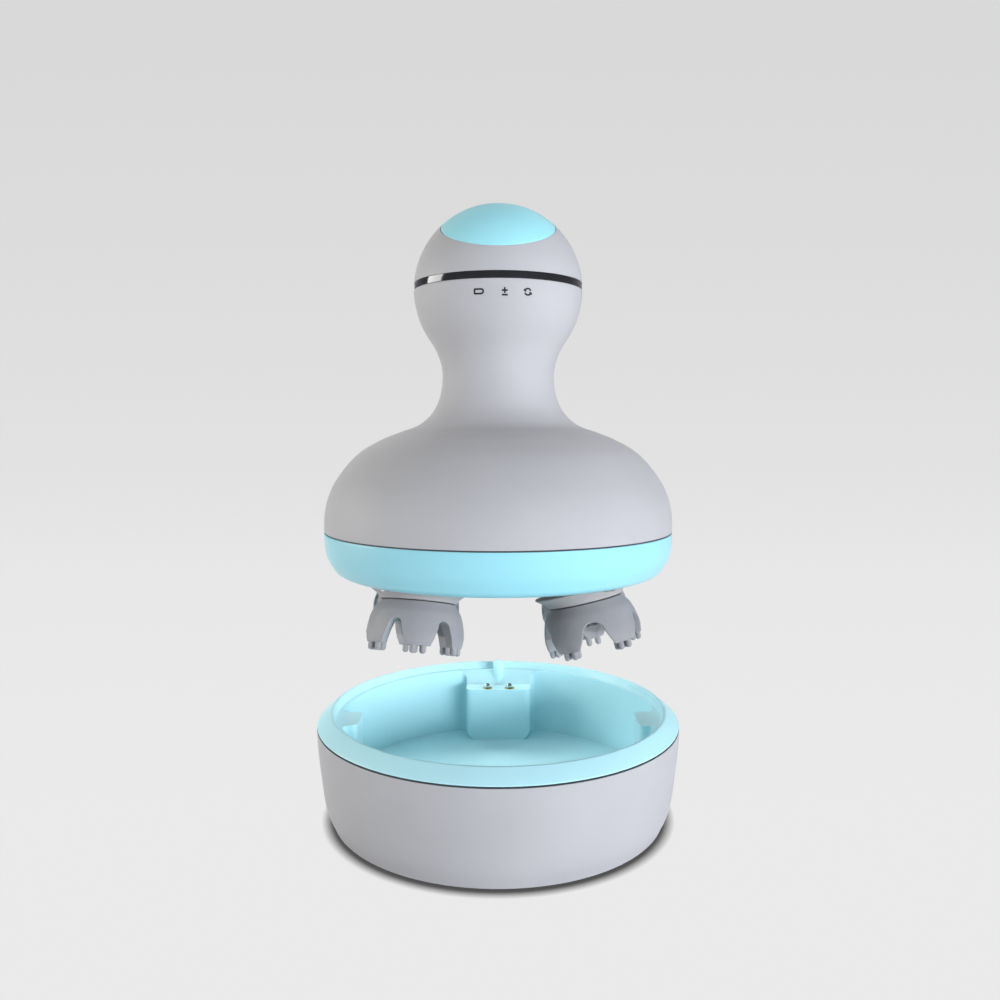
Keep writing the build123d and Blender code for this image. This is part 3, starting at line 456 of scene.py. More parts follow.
def makeDockShell():
    d = dockShell
    side = smoothLine(d["side"], (0.5, 1), (0.03, 1), 6)
    low, turn = side[0], d["footRadius"]
    outline = [(low[0] - turn, d["foot"])]
    outline += arcPoints((low[0] - turn, d["foot"] + turn), turn, -90, 0, 5)[1:-1]
    outline += side
    outline += [(r - d["wall"], z) for r, z in reversed(side)]
    outline.append((low[0] - d["wall"], d["foot"]))
    bm = turnOutline(outline)
    softenEdges(bm, d["rounding"])
    obj = meshObject("dockShell", bm)
    # the power socket's opening at the back
    lo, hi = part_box("dock_power_socket")
    gap = d["socketGap"]
    halfX, halfZ = (hi[0] - lo[0]) / 2 / mm + gap, (hi[2] - lo[2]) / 2 / mm + gap
    centreZ = (hi[2] + lo[2]) / 2 / mm
    booleanWith(obj, slotMesh(halfX, halfZ, centreZ, *d["socketSpan"]))
    finishPiece(obj, shellGrey, "dock", ["dock_shell"])
    # the shell's top face, seen in the slot under the liner's lip, is painted dark as shade
    paintShadeAtLevel(obj, d["top"])


# dock liner: lip, ledge, bowl, contact pillar, peg and side rests

bowl = {
    "radius": 48.2,
    "floor": 8.6,
    "ledge": 30.8,
    "outerLow": 5.8,
    "wall": 1.6,
    "lipRadius": 50.3,
    "lipTop": 33.1,
    "groove": (0.45, 1.4),
    "grooveTop": [(0.1, 0), (0.15, 0.35)],
    "lip": [(0.9, 0), (0.25, 0), (-0.15, -0.3)],
    "lipFoot": 0.75,
    "under": 3,
    "corner": 2.2,
    "blend": 3.0,
    "blendPast": 1.5,
    "edge": 0.16,
    "footRounding": 0.9,
}
pillar = {
    "front": 36.5,
    "halfWidth": 11.4,
    "top": 26.6,
    "slopeY": 43.2,
    "recessHalf": 13.3,
    "recessPast": 3,
    "cornerCut": 3.6,
    "cornerSpan": (-6, 8),
}
rests = {
    "tip": 41.8,
    "y": -7.0,
    "half": 6.5,
    "reliefX": 43.0,
    "reliefZ": 19.5,
    "reliefHalf": 9,
    "reliefPast": 3,
    "fullZ": 24.0,
}
dishes = {"x": 21.5, "y": 16.0, "radius": 20.0, "depth": 1.2, "past": 1.2, "high": 2}
peg = {"y": 46.0, "radius": 1.9, "top": 34.9, "dome": 0.8}


def bowlPlan():
    # the bowl seen from above: a circle with the pillar and the two rests taken out
    radius = bowl["radius"]
    edgeDeg = degrees(bowl["blend"] / radius) + bowl["blendPast"]
    pillarDeg = degrees(asin(pillar["halfWidth"] / radius))
    restLow = degrees(asin((rests["y"] - rests["half"]) / radius))
    restHigh = degrees(asin((rests["y"] + rests["half"]) / radius))
    stretches = [(90 + pillarDeg, 180 - restHigh), (180 - restLow, 360 + restLow), (restHigh, 90 - pillarDeg)]
    plan, soft, hard = [], [], []

    def corner(point, kind):
        kind.append(len(plan))
        plan.append(point)

    def onCircle(deg):
        return (radius * cos(radians(deg)), radius * sin(radians(deg)))

    for number, (start, end) in enumerate(stretches):
        corner(onCircle(start), soft)
        plan.extend(arcPoints((0, 0), radius, start + edgeDeg, end - edgeDeg, int((end - start) / 2)))
        corner(onCircle(end), soft)
        if number == 0:
            corner((-rests["tip"], rests["y"] + rests["half"]), hard)
            corner((-rests["tip"], rests["y"] - rests["half"]), hard)
        elif number == 1:
            corner((rests["tip"], rests["y"] - rests["half"]), hard)
            corner((rests["tip"], rests["y"] + rests["half"]), hard)
        else:
            corner((pillar["halfWidth"], pillar["front"]), hard)
            corner((-pillar["halfWidth"], pillar["front"]), hard)
    return plan, soft, hard


def bowlCutter(low, high):
    plan, soft, hard = bowlPlan()
    bm = bmesh.new()
    verts = [bm.verts.new((x * mm, y * mm, low * mm)) for x, y in plan]
    bm.faces.new(verts)
    for chosen, width in ((hard, bowl["corner"]), (soft, bowl["blend"])):
        bevel(bm, [verts[i] for i in chosen], width, 10, "VERTICES")
    raiseFaces(bm, high - low)
    # the bowl's foot is rounded
    foot = [e for e in bm.edges if all(v.co.z < (low + 0.01) * mm for v in e.verts)]
    bevel(bm, foot, bowl["footRounding"], 4)
    return bm


def sidePrism(points, halfWidth):
    # an outline of (y, z) made as wide as twice halfWidth
    bm = plateMesh(points, -halfWidth, halfWidth)
    turn = Matrix(((0, 0, 1, 0), (1, 0, 0, 0), (0, 1, 0, 0), (0, 0, 0, 1)))
    return moved(bm, turn)


def cutRecess(obj):
    # the recess over the pillar, with its back sloped at 45 degrees
    top, ledge, front = pillar["top"], bowl["ledge"], pillar["front"] - pillar["recessPast"]
    back = pillar["slopeY"] + ledge - top
    recess = [(front, top), (pillar["slopeY"], top), (back, ledge), (back, ledge + 1), (front, ledge + 1)]
    booleanWith(obj, sidePrism(recess, pillar["recessHalf"]))


def cutSides(obj):
    for side in (-1, 1):
        # the rests are cut back low down, where the heads swing past
        x0, x1 = sorted((side * (rests["tip"] - rests["reliefPast"]), side * rests["reliefX"]))
        y0, y1 = rests["y"] - rests["reliefHalf"], rests["y"] + rests["reliefHalf"]
        relief = boxMesh(x0, x1, y0, y1, bowl["floor"], rests["fullZ"])
        for v in relief.verts:
            if v.co.z > rests["reliefZ"] * mm and abs(v.co.x) > rests["tip"] * mm:
                v.co.x = side * rests["tip"] * mm
        booleanWith(obj, relief)
        # and the pillar's two foot corners are cut off at 45 degrees
        half = pillar["cornerCut"] / 2
        cut = boxMesh(-half, half, *pillar["cornerSpan"], -half, half)
        corner = Vector((side * pillar["halfWidth"], pillar["front"], bowl["floor"])) * mm
        place = Matrix.Translation(corner)
        moved(cut, place @ Matrix.Rotation(radians(45), 4, "Y"))
        cutBelow(cut, bowl["floor"] + 0.01)
        bmesh.ops.contextual_create(cut, geom=[e for e in cut.edges if e.is_boundary])
        bmesh.ops.recalc_face_normals(cut, faces=cut.faces)
        booleanWith(obj, cut)


def cutDishes(obj):
    # four shallow dishes in the floor
    d = dishes
    sphere = (d["radius"] ** 2 + d["depth"] ** 2) / (2 * d["depth"])
    spread = degrees(asin((d["radius"] + d["past"]) / sphere))
    lens = arcPoints((0, sphere - d["depth"]), sphere, -90, -90 + spread, 16)
    lens.append((0, lens[-1][1] + d["high"]))
    for sx in (-1, 1):
        for sy in (-1, 1):
            dish = turnOutline(lens, steps=96, closed=False)
            moved(dish, Matrix.Translation((sx * d["x"] * mm, sy * d["y"] * mm, bowl["floor"] * mm)))
            booleanWith(obj, dish)


def addPeg(obj):
    # locating peg with a rounded end
    r = peg["radius"]
    dome = r * peg["dome"]
    turns = [radians(15 * k) for k in range(1, 6)]
    pegOutline = [(0, pillar["top"]), (r, pillar["top"]), (r, peg["top"] - dome)]
    pegOutline += [(r * cos(t), peg["top"] - dome + dome * sin(t)) for t in turns]
    pegOutline.append((0, peg["top"]))
    pegMesh = turnOutline(pegOutline, steps=40, closed=False)
    booleanWith(obj, moved(pegMesh, Matrix.Translation((0, peg["y"] * mm, 0))), "UNION")


def makeDockLiner():
    b = bowl
    outer = b["radius"] + b["wall"]
    seam = dockShell["top"]
    groove, inwards = b["groove"]
    edge = dockShell["side"][-1][0]
    outline = [
        (0, b["outerLow"]),
        (outer - b["under"], b["outerLow"]),
        (outer, b["outerLow"] + b["under"]),
        (outer, seam),
        (edge - inwards, seam),
        (edge - inwards, seam + groove),
    ]
    outline += [(edge - inset, seam + groove + rise) for inset, rise in b["grooveTop"]]
    outline += [(b["lipRadius"] + out, b["lipTop"] + rise) for out, rise in b["lip"]]
    outline += [(b["lipRadius"] - b["lipFoot"], b["ledge"]), (0, b["ledge"])]
    body = turnOutline(outline, closed=False)
    softenEdges(body, b["edge"], limitDeg=20)
    obj = meshObject("dockLiner", body)
    booleanWith(obj, bowlCutter(b["floor"], b["ledge"] + 3))
    cutRecess(obj)
    cutSides(obj)
    cutDishes(obj)
    addPeg(obj)
    finishPiece(obj, aquaLiner, "dock", ["dock_liner"])


makeDockShell()
makeDockLiner()
print("dock made")


# charging pins and their collars

pins = {
    "x": 3.9,
    "y": 38.7,
    "low": 23.2,
    "top": 28.4,
    "radius": 0.9,
    "foot": 1.7,
    "collar": 1.75,
    "collarHigh": 0.25,
    "collarEdge": (0.12, 0.17),
    "boreEdge": (0.1, 0.15),
    "barrel": 1.35,
    "barrelFloor": 0.4,
    "bore": 0.95,
}


def makePins():
    d = pins
    seat = pillar["top"]
    rim = seat + d["collarHigh"]
    barrelLine = [
        (0, d["low"]),
        (d["barrel"], d["low"]),
        (d["barrel"], seat),
        (d["collar"], seat),
        (d["collar"], seat + d["collarEdge"][1]),
        (d["collar"] - d["collarEdge"][0], rim),
        (d["bore"] + d["boreEdge"][0], rim),
        (d["bore"], seat + d["boreEdge"][1]),
        (d["bore"], d["low"] + d["barrelFloor"]),
        (0, d["low"] + d["barrelFloor"]),
    ]
    places = [Matrix.Translation((side * d["x"] * mm, d["y"] * mm, 0)) for side in (-1, 1)]
    barrels = joined(*[moved(turnOutline(barrelLine, steps=64, closed=False), place) for place in places])
    finishPiece(meshObject("pinBarrels", barrels), gold, "dock", ["dock_pin_barrels"])
    low = d["low"] + d["foot"]
    pinLine = [(0, low), (d["radius"], low)] + arcPoints((0, d["top"] - d["radius"]), d["radius"], 0, 90, 14)
    for place, side in zip(places, ("left", "right")):
        pin = moved(turnOutline(pinLine, steps=64, closed=False), place)
        node = "charging_pin_" + side
        finishPiece(meshObject("pin" + side.capitalize(), pin), silver, node, [node])


makePins()
print("pins made")


# housing: shoulder, neck and the lower half of the knob

knob = {"centre": 159.3, "radius": 25.1, "joinDrop": 12.9, "bandLow": 159.1, "bandTop": 161.2, "wall": 2.4}
band = {"inset": 0.15, "depth": 3.55, "edge": 0.14}
housing = {
    "seam": 88.0,
    "gasket": 0.4,
    "side": [
        (52.2, 88.0),
        (51.5, 96.0),
        (48.6, 103.0),
        (42.2, 110.7),
        (35.2, 115.0),
        (29.5, 117.3),
        (24.0, 119.4),
        (20.4, 122.4),
        (18.2, 126.0),
        (17.0, 130.4),
        (16.8, 135.6),
        (18.3, 140.9),
    ],
    "edge": 0.16,
    "shelfTop": 156.0,
    "shelfHigh": 1.2,
    "shelfBore": 19.0,
    "shelfFoot": (21.57, 3.77),
    "shelfReach": 22.46,
    "bossRing": 44.4,
    "bossDeg": 49,
    "bossSpan": (78.2, 103),
    "bossRadius": 2.85,
    "bossBore": 1.27,
    "bossDeep": 9,
}


def insetLine(points, inset):
    # the line moved inwards, square to itself
    last = len(points) - 1
    line = []
    for i, (r, z) in enumerate(points):
        r0, z0 = points[max(i - 1, 0)]
        r1, z1 = points[min(i + 1, last)]
        length = hypot(r1 - r0, z1 - z0)
        line.append((r - inset * (z1 - z0) / length, z + inset * (r1 - r0) / length))
    line[0] = (points[0][0] - inset, points[0][1])
    return line


def housingSide(inset):
    # the surface from the seam to the top of the lower half of the knob
    base = [(housing["side"][0][0], housing["seam"] + housing["gasket"] / 2)] + housing["side"][1:]
    points = insetLine(base, inset)
    radius = knob["radius"] - inset
    drop = knob["joinDrop"] * radius / knob["radius"]
    join = (sqrt(radius**2 - drop**2), knob["centre"] - drop)
    line = smoothLine(points + [join], (0, 1), (drop, join[0]), 12)
    start = degrees(asin(-drop / radius))
    end = degrees(asin((knob["bandLow"] - knob["centre"]) / radius))
    return line + arcPoints((0, knob["centre"]), radius, start, end, 26)[1:]


def atRim(z, low=-1, tolerance=0.01):
    # a test for edges that lie in the level z, outside the radius low
    def test(edge):
        near = all(abs(v.co.z / mm - z) < tolerance for v in edge.verts)
        return near and all(hypot(v.co.x, v.co.y) / mm > low for v in edge.verts)

    return test


def bossPlaces():
    # where the four case screws stand
    deg = housing["bossDeg"]
    out = Matrix.Translation((housing["bossRing"] * mm, 0, 0))
    return [Matrix.Rotation(radians(turn), 4, "Z") @ out for turn in (deg, 180 - deg, 180 + deg, 360 - deg)]


def makeUpperHousing():
    d = housing
    outer = housingSide(0)
    inner = housingSide(knob["wall"])
    # a shelf inside the knob carries the control board
    shelfZ, bore = d["shelfTop"], d["shelfBore"]
    foot, drop = d["shelfFoot"]
    below = [pt for pt in inner if pt[1] < shelfZ - drop]
    above = [pt for pt in inner if pt[1] > shelfZ]
    shelf = [(foot, shelfZ - drop), (bore, shelfZ - d["shelfHigh"])]
    shelf += [(bore, shelfZ), (d["shelfReach"], shelfZ)]
    bm = turnOutline(outer + list(reversed(below + shelf + above)))
    softenEdges(bm, d["edge"], keep=atRim(outer[0][1], outer[0][0] - 1))
    softenEdges(bm, d["edge"], keep=atRim(knob["bandLow"], knob["radius"] - 1))
    obj = meshObject("upperHousing", bm)
    low, high = d["bossSpan"]
    radius, bore, top = d["bossRadius"], d["bossBore"], low + d["bossDeep"]
    bossLine = [(bore, low), (radius, low), (radius, high), (0, high), (0, top), (bore, top)]
    for place in bossPlaces():
        booleanWith(obj, moved(turnOutline(bossLine, steps=32, closed=False), place), "UNION")
    finishPiece(obj, shellGrey, "massager", ["upper_housing"])


def makeBand():
    outer, inner = knob["radius"] - band["inset"], knob["radius"] - band["depth"]
    low, top = knob["bandLow"], knob["bandTop"]
    bm = turnOutline([(inner, low), (outer, low), (outer, top), (inner, top)])
    softenEdges(bm, band["edge"])
    finishPiece(meshObject("indicatorBand", bm), bandBlack, "massager", ["indicator_band"])


makeUpperHousing()
makeBand()
print("housing made")


# upper half of the knob, with the button's well, and the button

button = {
    "tilt": 28,
    "halfDeg": 41.5,
    "gap": 0.15,
    "wellLow": 12.8,
    "wellTop": 14.3,
    "wellWall": 1.5,
    "plungerHole": 3.15,
    "edge": 0.12,
    "capEdge": 0.14,
    "capWall": 1.8,
    "skirtLow": 16.2,
    "skirtWall": 1.4,
    "plunger": 3.0,
    "plungerLow": 11.4,
}
cover = {
    "lowDeg": -48,
    "lipBore": 20.05,
    "lipRadius": 21.25,
    "lipDrop": 1.6,
    "lipReach": 23.0,
    "lipRoot": 1.2,
}


def onButtonAxis(bm):
    place = Matrix.Translation((0, 0, knob["centre"] * mm)) @ Matrix.Rotation(radians(button["tilt"]), 4, "X")
    return moved(bm, place)


def atTurn(radius, low):
    # a test for edges that run round the button's axis at a radius, over a height
    def test(edge):
        return all(abs(hypot(v.co.x, v.co.y) / mm - radius) < 0.01 and v.co.z / mm > low for v in edge.verts)

    return test


def makeKnobCover():
    d, radius = button, knob["radius"]
    hole = radius * sin(radians(d["halfDeg"]))
    wall = hole + d["wellWall"]
    inner = radius - knob["wall"]
    lineDeg = 90 - d["halfDeg"]
    outline = arcPoints((0, 0), radius, lineDeg, cover["lowDeg"], 84)
    outline += arcPoints((0, 0), inner, cover["lowDeg"], degrees(atan2(sqrt(inner**2 - wall**2), wall)), 60)
    outline += [(wall, d["wellLow"]), (d["plungerHole"], d["wellLow"]), (d["plungerHole"], d["wellTop"])]
    outline.append((hole, d["wellTop"]))
    bm = turnOutline(outline)
    softenEdges(bm, d["edge"], segments=4, keep=atTurn(hole, d["wellTop"] + 1))
    onButtonAxis(bm)
    cutBelow(bm, knob["bandTop"])
    bmesh.ops.bridge_loops(bm, edges=[e for e in bm.edges if e.is_boundary])
    bmesh.ops.recalc_face_normals(bm, faces=bm.faces)
    softenEdges(bm, housing["edge"], keep=atRim(knob["bandTop"], knob["radius"] - 1))
    obj = meshObject("knobCover", bm)
    # a lip that reaches down inside the band
    low = knob["bandTop"]
    bore, lipRadius, reach = cover["lipBore"], cover["lipRadius"], cover["lipReach"]
    foot, root, step = low - cover["lipDrop"], low + cover["lipRoot"], low + 0.02
    lip = [(bore, foot), (lipRadius, foot), (lipRadius, step), (reach, step), (reach, root), (bore, root)]
    booleanWith(obj, turnOutline(lip), "UNION")
    finishPiece(obj, shellGrey, "massager", ["knob_cover"])


def makeButtonCap():
    d, radius = button, knob["radius"]
    edge = radius * sin(radians(d["halfDeg"])) - d["gap"]
    crown = degrees(atan2(sqrt(radius**2 - edge**2), edge))
    inner = radius - d["capWall"]
    skirtBore, plunger = edge - d["skirtWall"], d["plunger"]
    outline = arcPoints((0, 0), radius - 0.01, 90, crown, 40)
    outline += [(edge, d["skirtLow"]), (skirtBore, d["skirtLow"])]
    start = degrees(atan2(sqrt(inner**2 - skirtBore**2), skirtBore))
    end = degrees(atan2(sqrt(inner**2 - plunger**2), plunger))
    outline += arcPoints((0, 0), inner, start, end, 24)
    outline += [(plunger, d["plungerLow"]), (0, d["plungerLow"])]
    bm = turnOutline(outline, closed=False)
    softenEdges(bm, d["capEdge"], segments=5, keep=atTurn(edge, d["skirtLow"] + 1))
    obj = meshObject("buttonCap", onButtonAxis(bm))
    finishPiece(obj, aquaCap, "power_button", ["button_cap"])


makeKnobCover()
makeButtonCap()
print("knob made")


# coloured ring under the seam, and the seam's gasket

ring = {
    "bottom": 75.2,
    "flange": 43.9,
    "flangeHigh": 1.4,
    "flat": 44.9,
    "corner": (49.4, 77.2),
    "cornerDir": (0.62, 1),
    "mid": (51.5, 81.2),
    "cornerWall": 2,
    "topWall": 2.1,
    "edge": 0.14,
    "pegRadius": 2.2,
    "pegTop": 4.2,
    "screwRadius": 2.6,
    "screwTop": 1.9,
}
gasket = {"inset": 0.3, "width": 1.6, "chamfer": (0.05, 0.1)}


def makeLowerRing():
    d = ring
    top = housing["seam"] - housing["gasket"] / 2
    outerR = housing["side"][0][0]
    turn = smoothLine([(d["flat"], d["bottom"]), d["corner"]], (1, 0), d["cornerDir"], 12)
    side = smoothLine([d["corner"], d["mid"], (outerR, top)], d["cornerDir"], (0, 1), 12)
    innerLow = (d["corner"][0] - d["cornerWall"], d["bottom"] + d["flangeHigh"])
    inner = smoothLine([innerLow, (outerR - d["topWall"], top)], (0.4, 1), (0, 1), 12)
    outline = turn + side[1:] + list(reversed(inner))
    outline += [(d["flange"], innerLow[1]), (d["flange"], d["bottom"])]
    bm = turnOutline(outline)
    softenEdges(bm, d["edge"], keep=atRim(top, outerR - 1))
    obj = meshObject("lowerRing", bm)
    # a socket for the dock's peg, and seats for the case screws
    socket = postMesh(d["pegRadius"], d["bottom"] - 1, d["bottom"] + d["pegTop"])
    booleanWith(obj, moved(socket, Matrix.Translation((0, peg["y"] * mm, 0))))
    for place in bossPlaces():
        seat = postMesh(d["screwRadius"], d["bottom"] - 2, d["bottom"] + d["screwTop"])
        booleanWith(obj, moved(seat, place))
    finishPiece(obj, aquaRing, "massager", ["lower_ring"])


def makeGasket():
    outer = housing["side"][0][0] - gasket["inset"]
    low, top = housing["seam"] - housing["gasket"] / 2, housing["seam"] + housing["gasket"] / 2
    across, up = gasket["chamfer"]
    inner = outer - gasket["width"]
    outline = [(inner, low), (outer - across, low), (outer, low + up)]
    outline += [(outer, top - up), (outer - across, top), (inner, top)]
    bm = turnOutline(outline)
    finishPiece(meshObject("seamGasket", bm), seamDarkAndShade, "massager", ["seam_gasket"])


makeLowerRing()
makeGasket()
print("ring made")


# swivel heads: skirts and soft claws, built about the swing centre and pointing down

heads = {
    "front_left": {"x": -21.5, "y": -16.0, "lean": -18.0, "fingers": 6, "first": 10.0},
    "front_right": {"x": 21.5, "y": -16.0, "lean": 60.0, "fingers": 5, "first": 34.0},
    "back_left": {"x": -21.5, "y": 16.0, "lean": -50.0, "fingers": 5, "first": 34.0},
    "back_right": {"x": 21.5, "y": 16.0, "lean": 90.0, "fingers": 6, "first": 10.0},
}
swing = {"tilt": 15.5, "z": 83.5}
skirt = {
    "ball": 15.5,
    "wall": 1.4,
    "join": 45,
    "top": 78,
    "rim": (14.0, -11.8),
    "rimStep": (0.3, 0.35),
    "mid": (12.0, -13.3),
    "neck": (10.8, -14.8),
    "bore": 9.42,
    "edge": 0.12,
}
claw = {
    "top": 15.0,
    "low": 27.2,
    "neck": (10.6, 0.1),
    "shoulder": (12.6, 3.2),
    "radius": 13.9,
    "widest": 8.6,
    "tipInset": 0.25,
    "wall": 3.3,
    "hollow": [(10.4, 8), (8.6, 4.2)],
    "hub": 5.02,
    "hubLow": 2.6,
    "archTop": 20.2,
    "archFlare": 1.8,
    "archPast": 4.0,
    "finger": 6.3,
    "nub": 0.84,
    "nubLength": 2.1,
    "nubRoot": 1.0,
    "nubRadial": 1.6,
    "nubSide": 2.7,
    "voxel": 0.24,
    "smoothing": 7,
}


def headMatrix(head):
    lean = radians(head["lean"])
    place = Matrix.Translation((head["x"] * mm, head["y"] * mm, swing["z"] * mm))
    tip = Matrix.Rotation(radians(-swing["tilt"]), 4, "X")
    return place @ (Matrix.Rotation(lean, 4, "Z") @ tip @ Matrix.Rotation(-lean, 4, "Z"))


def skirtMesh():
    d = skirt
    inner = d["ball"] - d["wall"]
    innerLow = -inner * cos(radians(d["join"]))
    outline = arcPoints((0, 0), d["ball"], -90 + d["join"], -90 + d["top"], 22)
    outline += arcPoints((0, 0), inner, -90 + d["top"], -90 + d["join"], 20)
    outline += [(d["bore"], innerLow), (d["bore"], d["neck"][1])]
    outline += smoothLine([d["neck"], d["mid"], d["rim"]], (0.35, 1), (0.9, 1), 8)
    outline.append((d["rim"][0] - d["rimStep"][0], d["rim"][1] + d["rimStep"][1]))
    bm = turnOutline(outline, steps=144)
    softenEdges(bm, d["edge"], limitDeg=40)
    return bm


def archCutter(fingers):
    # an arch in the side view, round at its top and wider at the fingers' tips
    d = claw
    rim = d["radius"] - d["tipInset"]
    lowHalf = (2 * rim * sin(pi / fingers) - d["finger"]) / 2
    topHalf = lowHalf - d["archFlare"]
    centre = -d["archTop"] - topHalf
    past = d["archPast"]
    pastHalf = lowHalf + d["archFlare"] * past / (centre + d["low"])
    outline = arcPoints((0, centre), topHalf, 0, 180, 20)
    outline += [(-pastHalf, -d["low"] - past), (pastHalf, -d["low"] - past)]
    bm = plateMesh(outline, d["hub"] + 1.0, d["radius"] + 3)
    stand = Matrix(((1, 0, 0, 0), (0, 0, -1, 0), (0, 1, 0, 0), (0, 0, 0, 1)))
    moved(bm, stand)
    bmesh.ops.recalc_face_normals(bm, faces=bm.faces)
    return bm


def clawMesh(fingers, first):
    d = claw
    # outline points are given as a radius and a drop under the claw's top
    rim = d["radius"] - d["tipInset"]
    outside = [d["neck"], d["shoulder"], (d["radius"], d["widest"])]
    outside = [(radius, -d["top"] - drop) for radius, drop in outside] + [(rim, -d["low"])]
    inside = d["hollow"] + [(d["hub"], d["hubLow"])]
    inside = [(rim - d["wall"], -d["low"])] + [(radius, -d["top"] - drop) for radius, drop in inside]
    outline = smoothLine(outside, (0.55, -1), (-0.12, -1)) + smoothLine(inside, (0.05, 1), (-1, 0.25))
    body = turnOutline(outline + [(d["hub"], -d["top"])], steps=120)
    obj = meshObject("clawBlank", body)
    for k in range(fingers):
        turn = Matrix.Rotation(radians(first + 360 * (k + 0.5) / fingers), 4, "Z")
        booleanWith(obj, moved(archCutter(fingers), turn))
    # four nubs stand on each finger's end
    middle = rim - d["wall"] / 2
    nubLine = [(0, -d["low"] + d["nubRoot"]), (d["nub"], -d["low"] + d["nubRoot"])]
    nubLine += arcPoints((0, -d["low"] - d["nubLength"] + d["nub"]), d["nub"], 0, -90, 6)
    nubs = []
    for k in range(fingers):
        for dr in (-0.5, 0.5):
            for ds in (-0.5, 0.5):
                nub = turnOutline(nubLine, steps=24, closed=False)
                place = Matrix.Translation((ds * d["nubSide"] * mm, -(middle + dr * d["nubRadial"]) * mm, 0))
                nubs.append(moved(nub, Matrix.Rotation(radians(first + 360 * k / fingers), 4, "Z") @ place))
    remesh = obj.modifiers.new("skin", "REMESH")
    remesh.mode = "VOXEL"
    remesh.voxel_size = d["voxel"] * mm * 1
    soften = obj.modifiers.new("soften", "SMOOTH")
    soften.factor = 0.5
    soften.iterations = d["smoothing"]
    settled(obj)
    blank = bmesh.new()
    blank.from_mesh(obj.data)
    bpy.data.objects.remove(obj)
    return joined(blank, *nubs)


def makeHeads():
    kinds = {}
    for name, head in heads.items():
        place = headMatrix(head)
        body = "head_" + name
        skirtPiece = meshObject("skirt_" + name, moved(skirtMesh(), place))
        finishPiece(skirtPiece, skirtGrey, body, ["head_skirt_" + name])
        kind = (head["fingers"], head["first"])
        if kind not in kinds:
            kinds[kind] = clawMesh(*kind)
        clawPiece = meshObject("claw_" + name, moved(kinds[kind].copy(), place))
        finishPiece(clawPiece, clawGrey, body, ["head_claw_" + name], sharpDeg=80)
    for bm in kinds.values():
        bm.free()


makeHeads()
print("heads made")


# printed marks under the band: a battery, plus and minus, and a ring of arrows

marks = {
    "z": 155.6,
    "stroke": 0.46,
    "proud": 0.02,
    "sunk": 0.06,
    "battery": -5.2,
    "batteryHalf": 0.6,
    "batteryLong": 1.2,
    "sign": 1.85,
    "signHalf": 0.8,
    "signRows": (-0.95, 0.25),
    "signPost": (-0.5, 1.05),
    "arrows": 8.15,
    "arrowRadius": 0.85,
    "arrowHead": (0.5, 1.2),
    "arrowAhead": 0.32,
    "arrowBehind": 0.15,
}


def inkStroke(bm, points, closed=False):
    # a line of ink laid on the ball of the knob; points are (x, z) as seen from the front
    half = marks["stroke"] / 2
    path = [Vector(pt) for pt in points]
    if closed:
        path.append(path[0])
    dense = []
    for a, b in zip(path, path[1:]):
        steps = max(1, int((b - a).length / 0.12))
        dense += [a.lerp(b, k / steps) for k in range(steps)]
    dense.append(path[-1])
    rows = []
    last = len(dense) - 1
    for i, pt in enumerate(dense):
        before = dense[i - 1] if i or not closed else dense[last - 1]
        after = dense[i + 1] if i < last else (dense[1] if closed else dense[last])
        if i == 0 and not closed:
            before = pt
        along = (after - before).normalized()
        across = Vector((-along.y, along.x)) * half
        row = []
        for flat in (pt + across, pt - across):
            for lift in (marks["proud"], -marks["sunk"]):
                radius = knob["radius"] + lift
                y = -sqrt(radius**2 - flat.x**2 - (flat.y - knob["centre"]) ** 2)
                row.append(bm.verts.new((flat.x * mm, y * mm, flat.y * mm)))
        rows.append(row)
    for a, b in zip(rows, rows[1:]):
        for i, j in ((0, 1), (1, 3), (3, 2), (2, 0)):
            bm.faces.new((a[i], a[j], b[j], b[i]))
    if not closed:
        for row in (rows[0], rows[-1]):
            bm.faces.new((row[0], row[1], row[3], row[2]))


def makeMarks():
    bm = bmesh.new()
    z = marks["z"]
    # battery: an outline with a rounded right end
    x, half, long = marks["battery"], marks["batteryHalf"], marks["batteryLong"]
    turns = [radians(15 * k - 90) for k in range(1, 12)]
    outline = [(x - long, z - half), (x + half, z - half)]
    outline += [(x + half + half * cos(t), z + half * sin(t)) for t in turns]
    outline += [(x + half, z + half), (x - long, z + half)]
    inkStroke(bm, outline, closed=True)
    # plus over minus
    x, half = marks["sign"], marks["signHalf"]
    for rise in marks["signRows"]:
        inkStroke(bm, [(x - half, z + rise), (x + half, z + rise)])
    inkStroke(bm, [(x, z + rise) for rise in marks["signPost"]])
    # ring of two arrows, each with the two strokes of its head
    x, radius = marks["arrows"], marks["arrowRadius"]
    for start in (20, 200):
        turns = [radians(start + 12 * k) for k in range(12)]
        inkStroke(bm, [(x + radius * cos(t), z + radius * sin(t)) for t in turns])
        ahead, behind = turns[-1] + marks["arrowAhead"], turns[-1] - marks["arrowBehind"]
        tip = (x + radius * cos(ahead), z + radius * sin(ahead))
        for reach in marks["arrowHead"]:
            inkStroke(bm, [(x + reach * cos(behind), z + reach * sin(behind)), tip])
    bmesh.ops.recalc_face_normals(bm, faces=bm.faces)
    finishPiece(meshObject("printedMarks", bm), printInk, "massager")


makeMarks()
print("marks made")


# finishes of the pieces that keep their shape

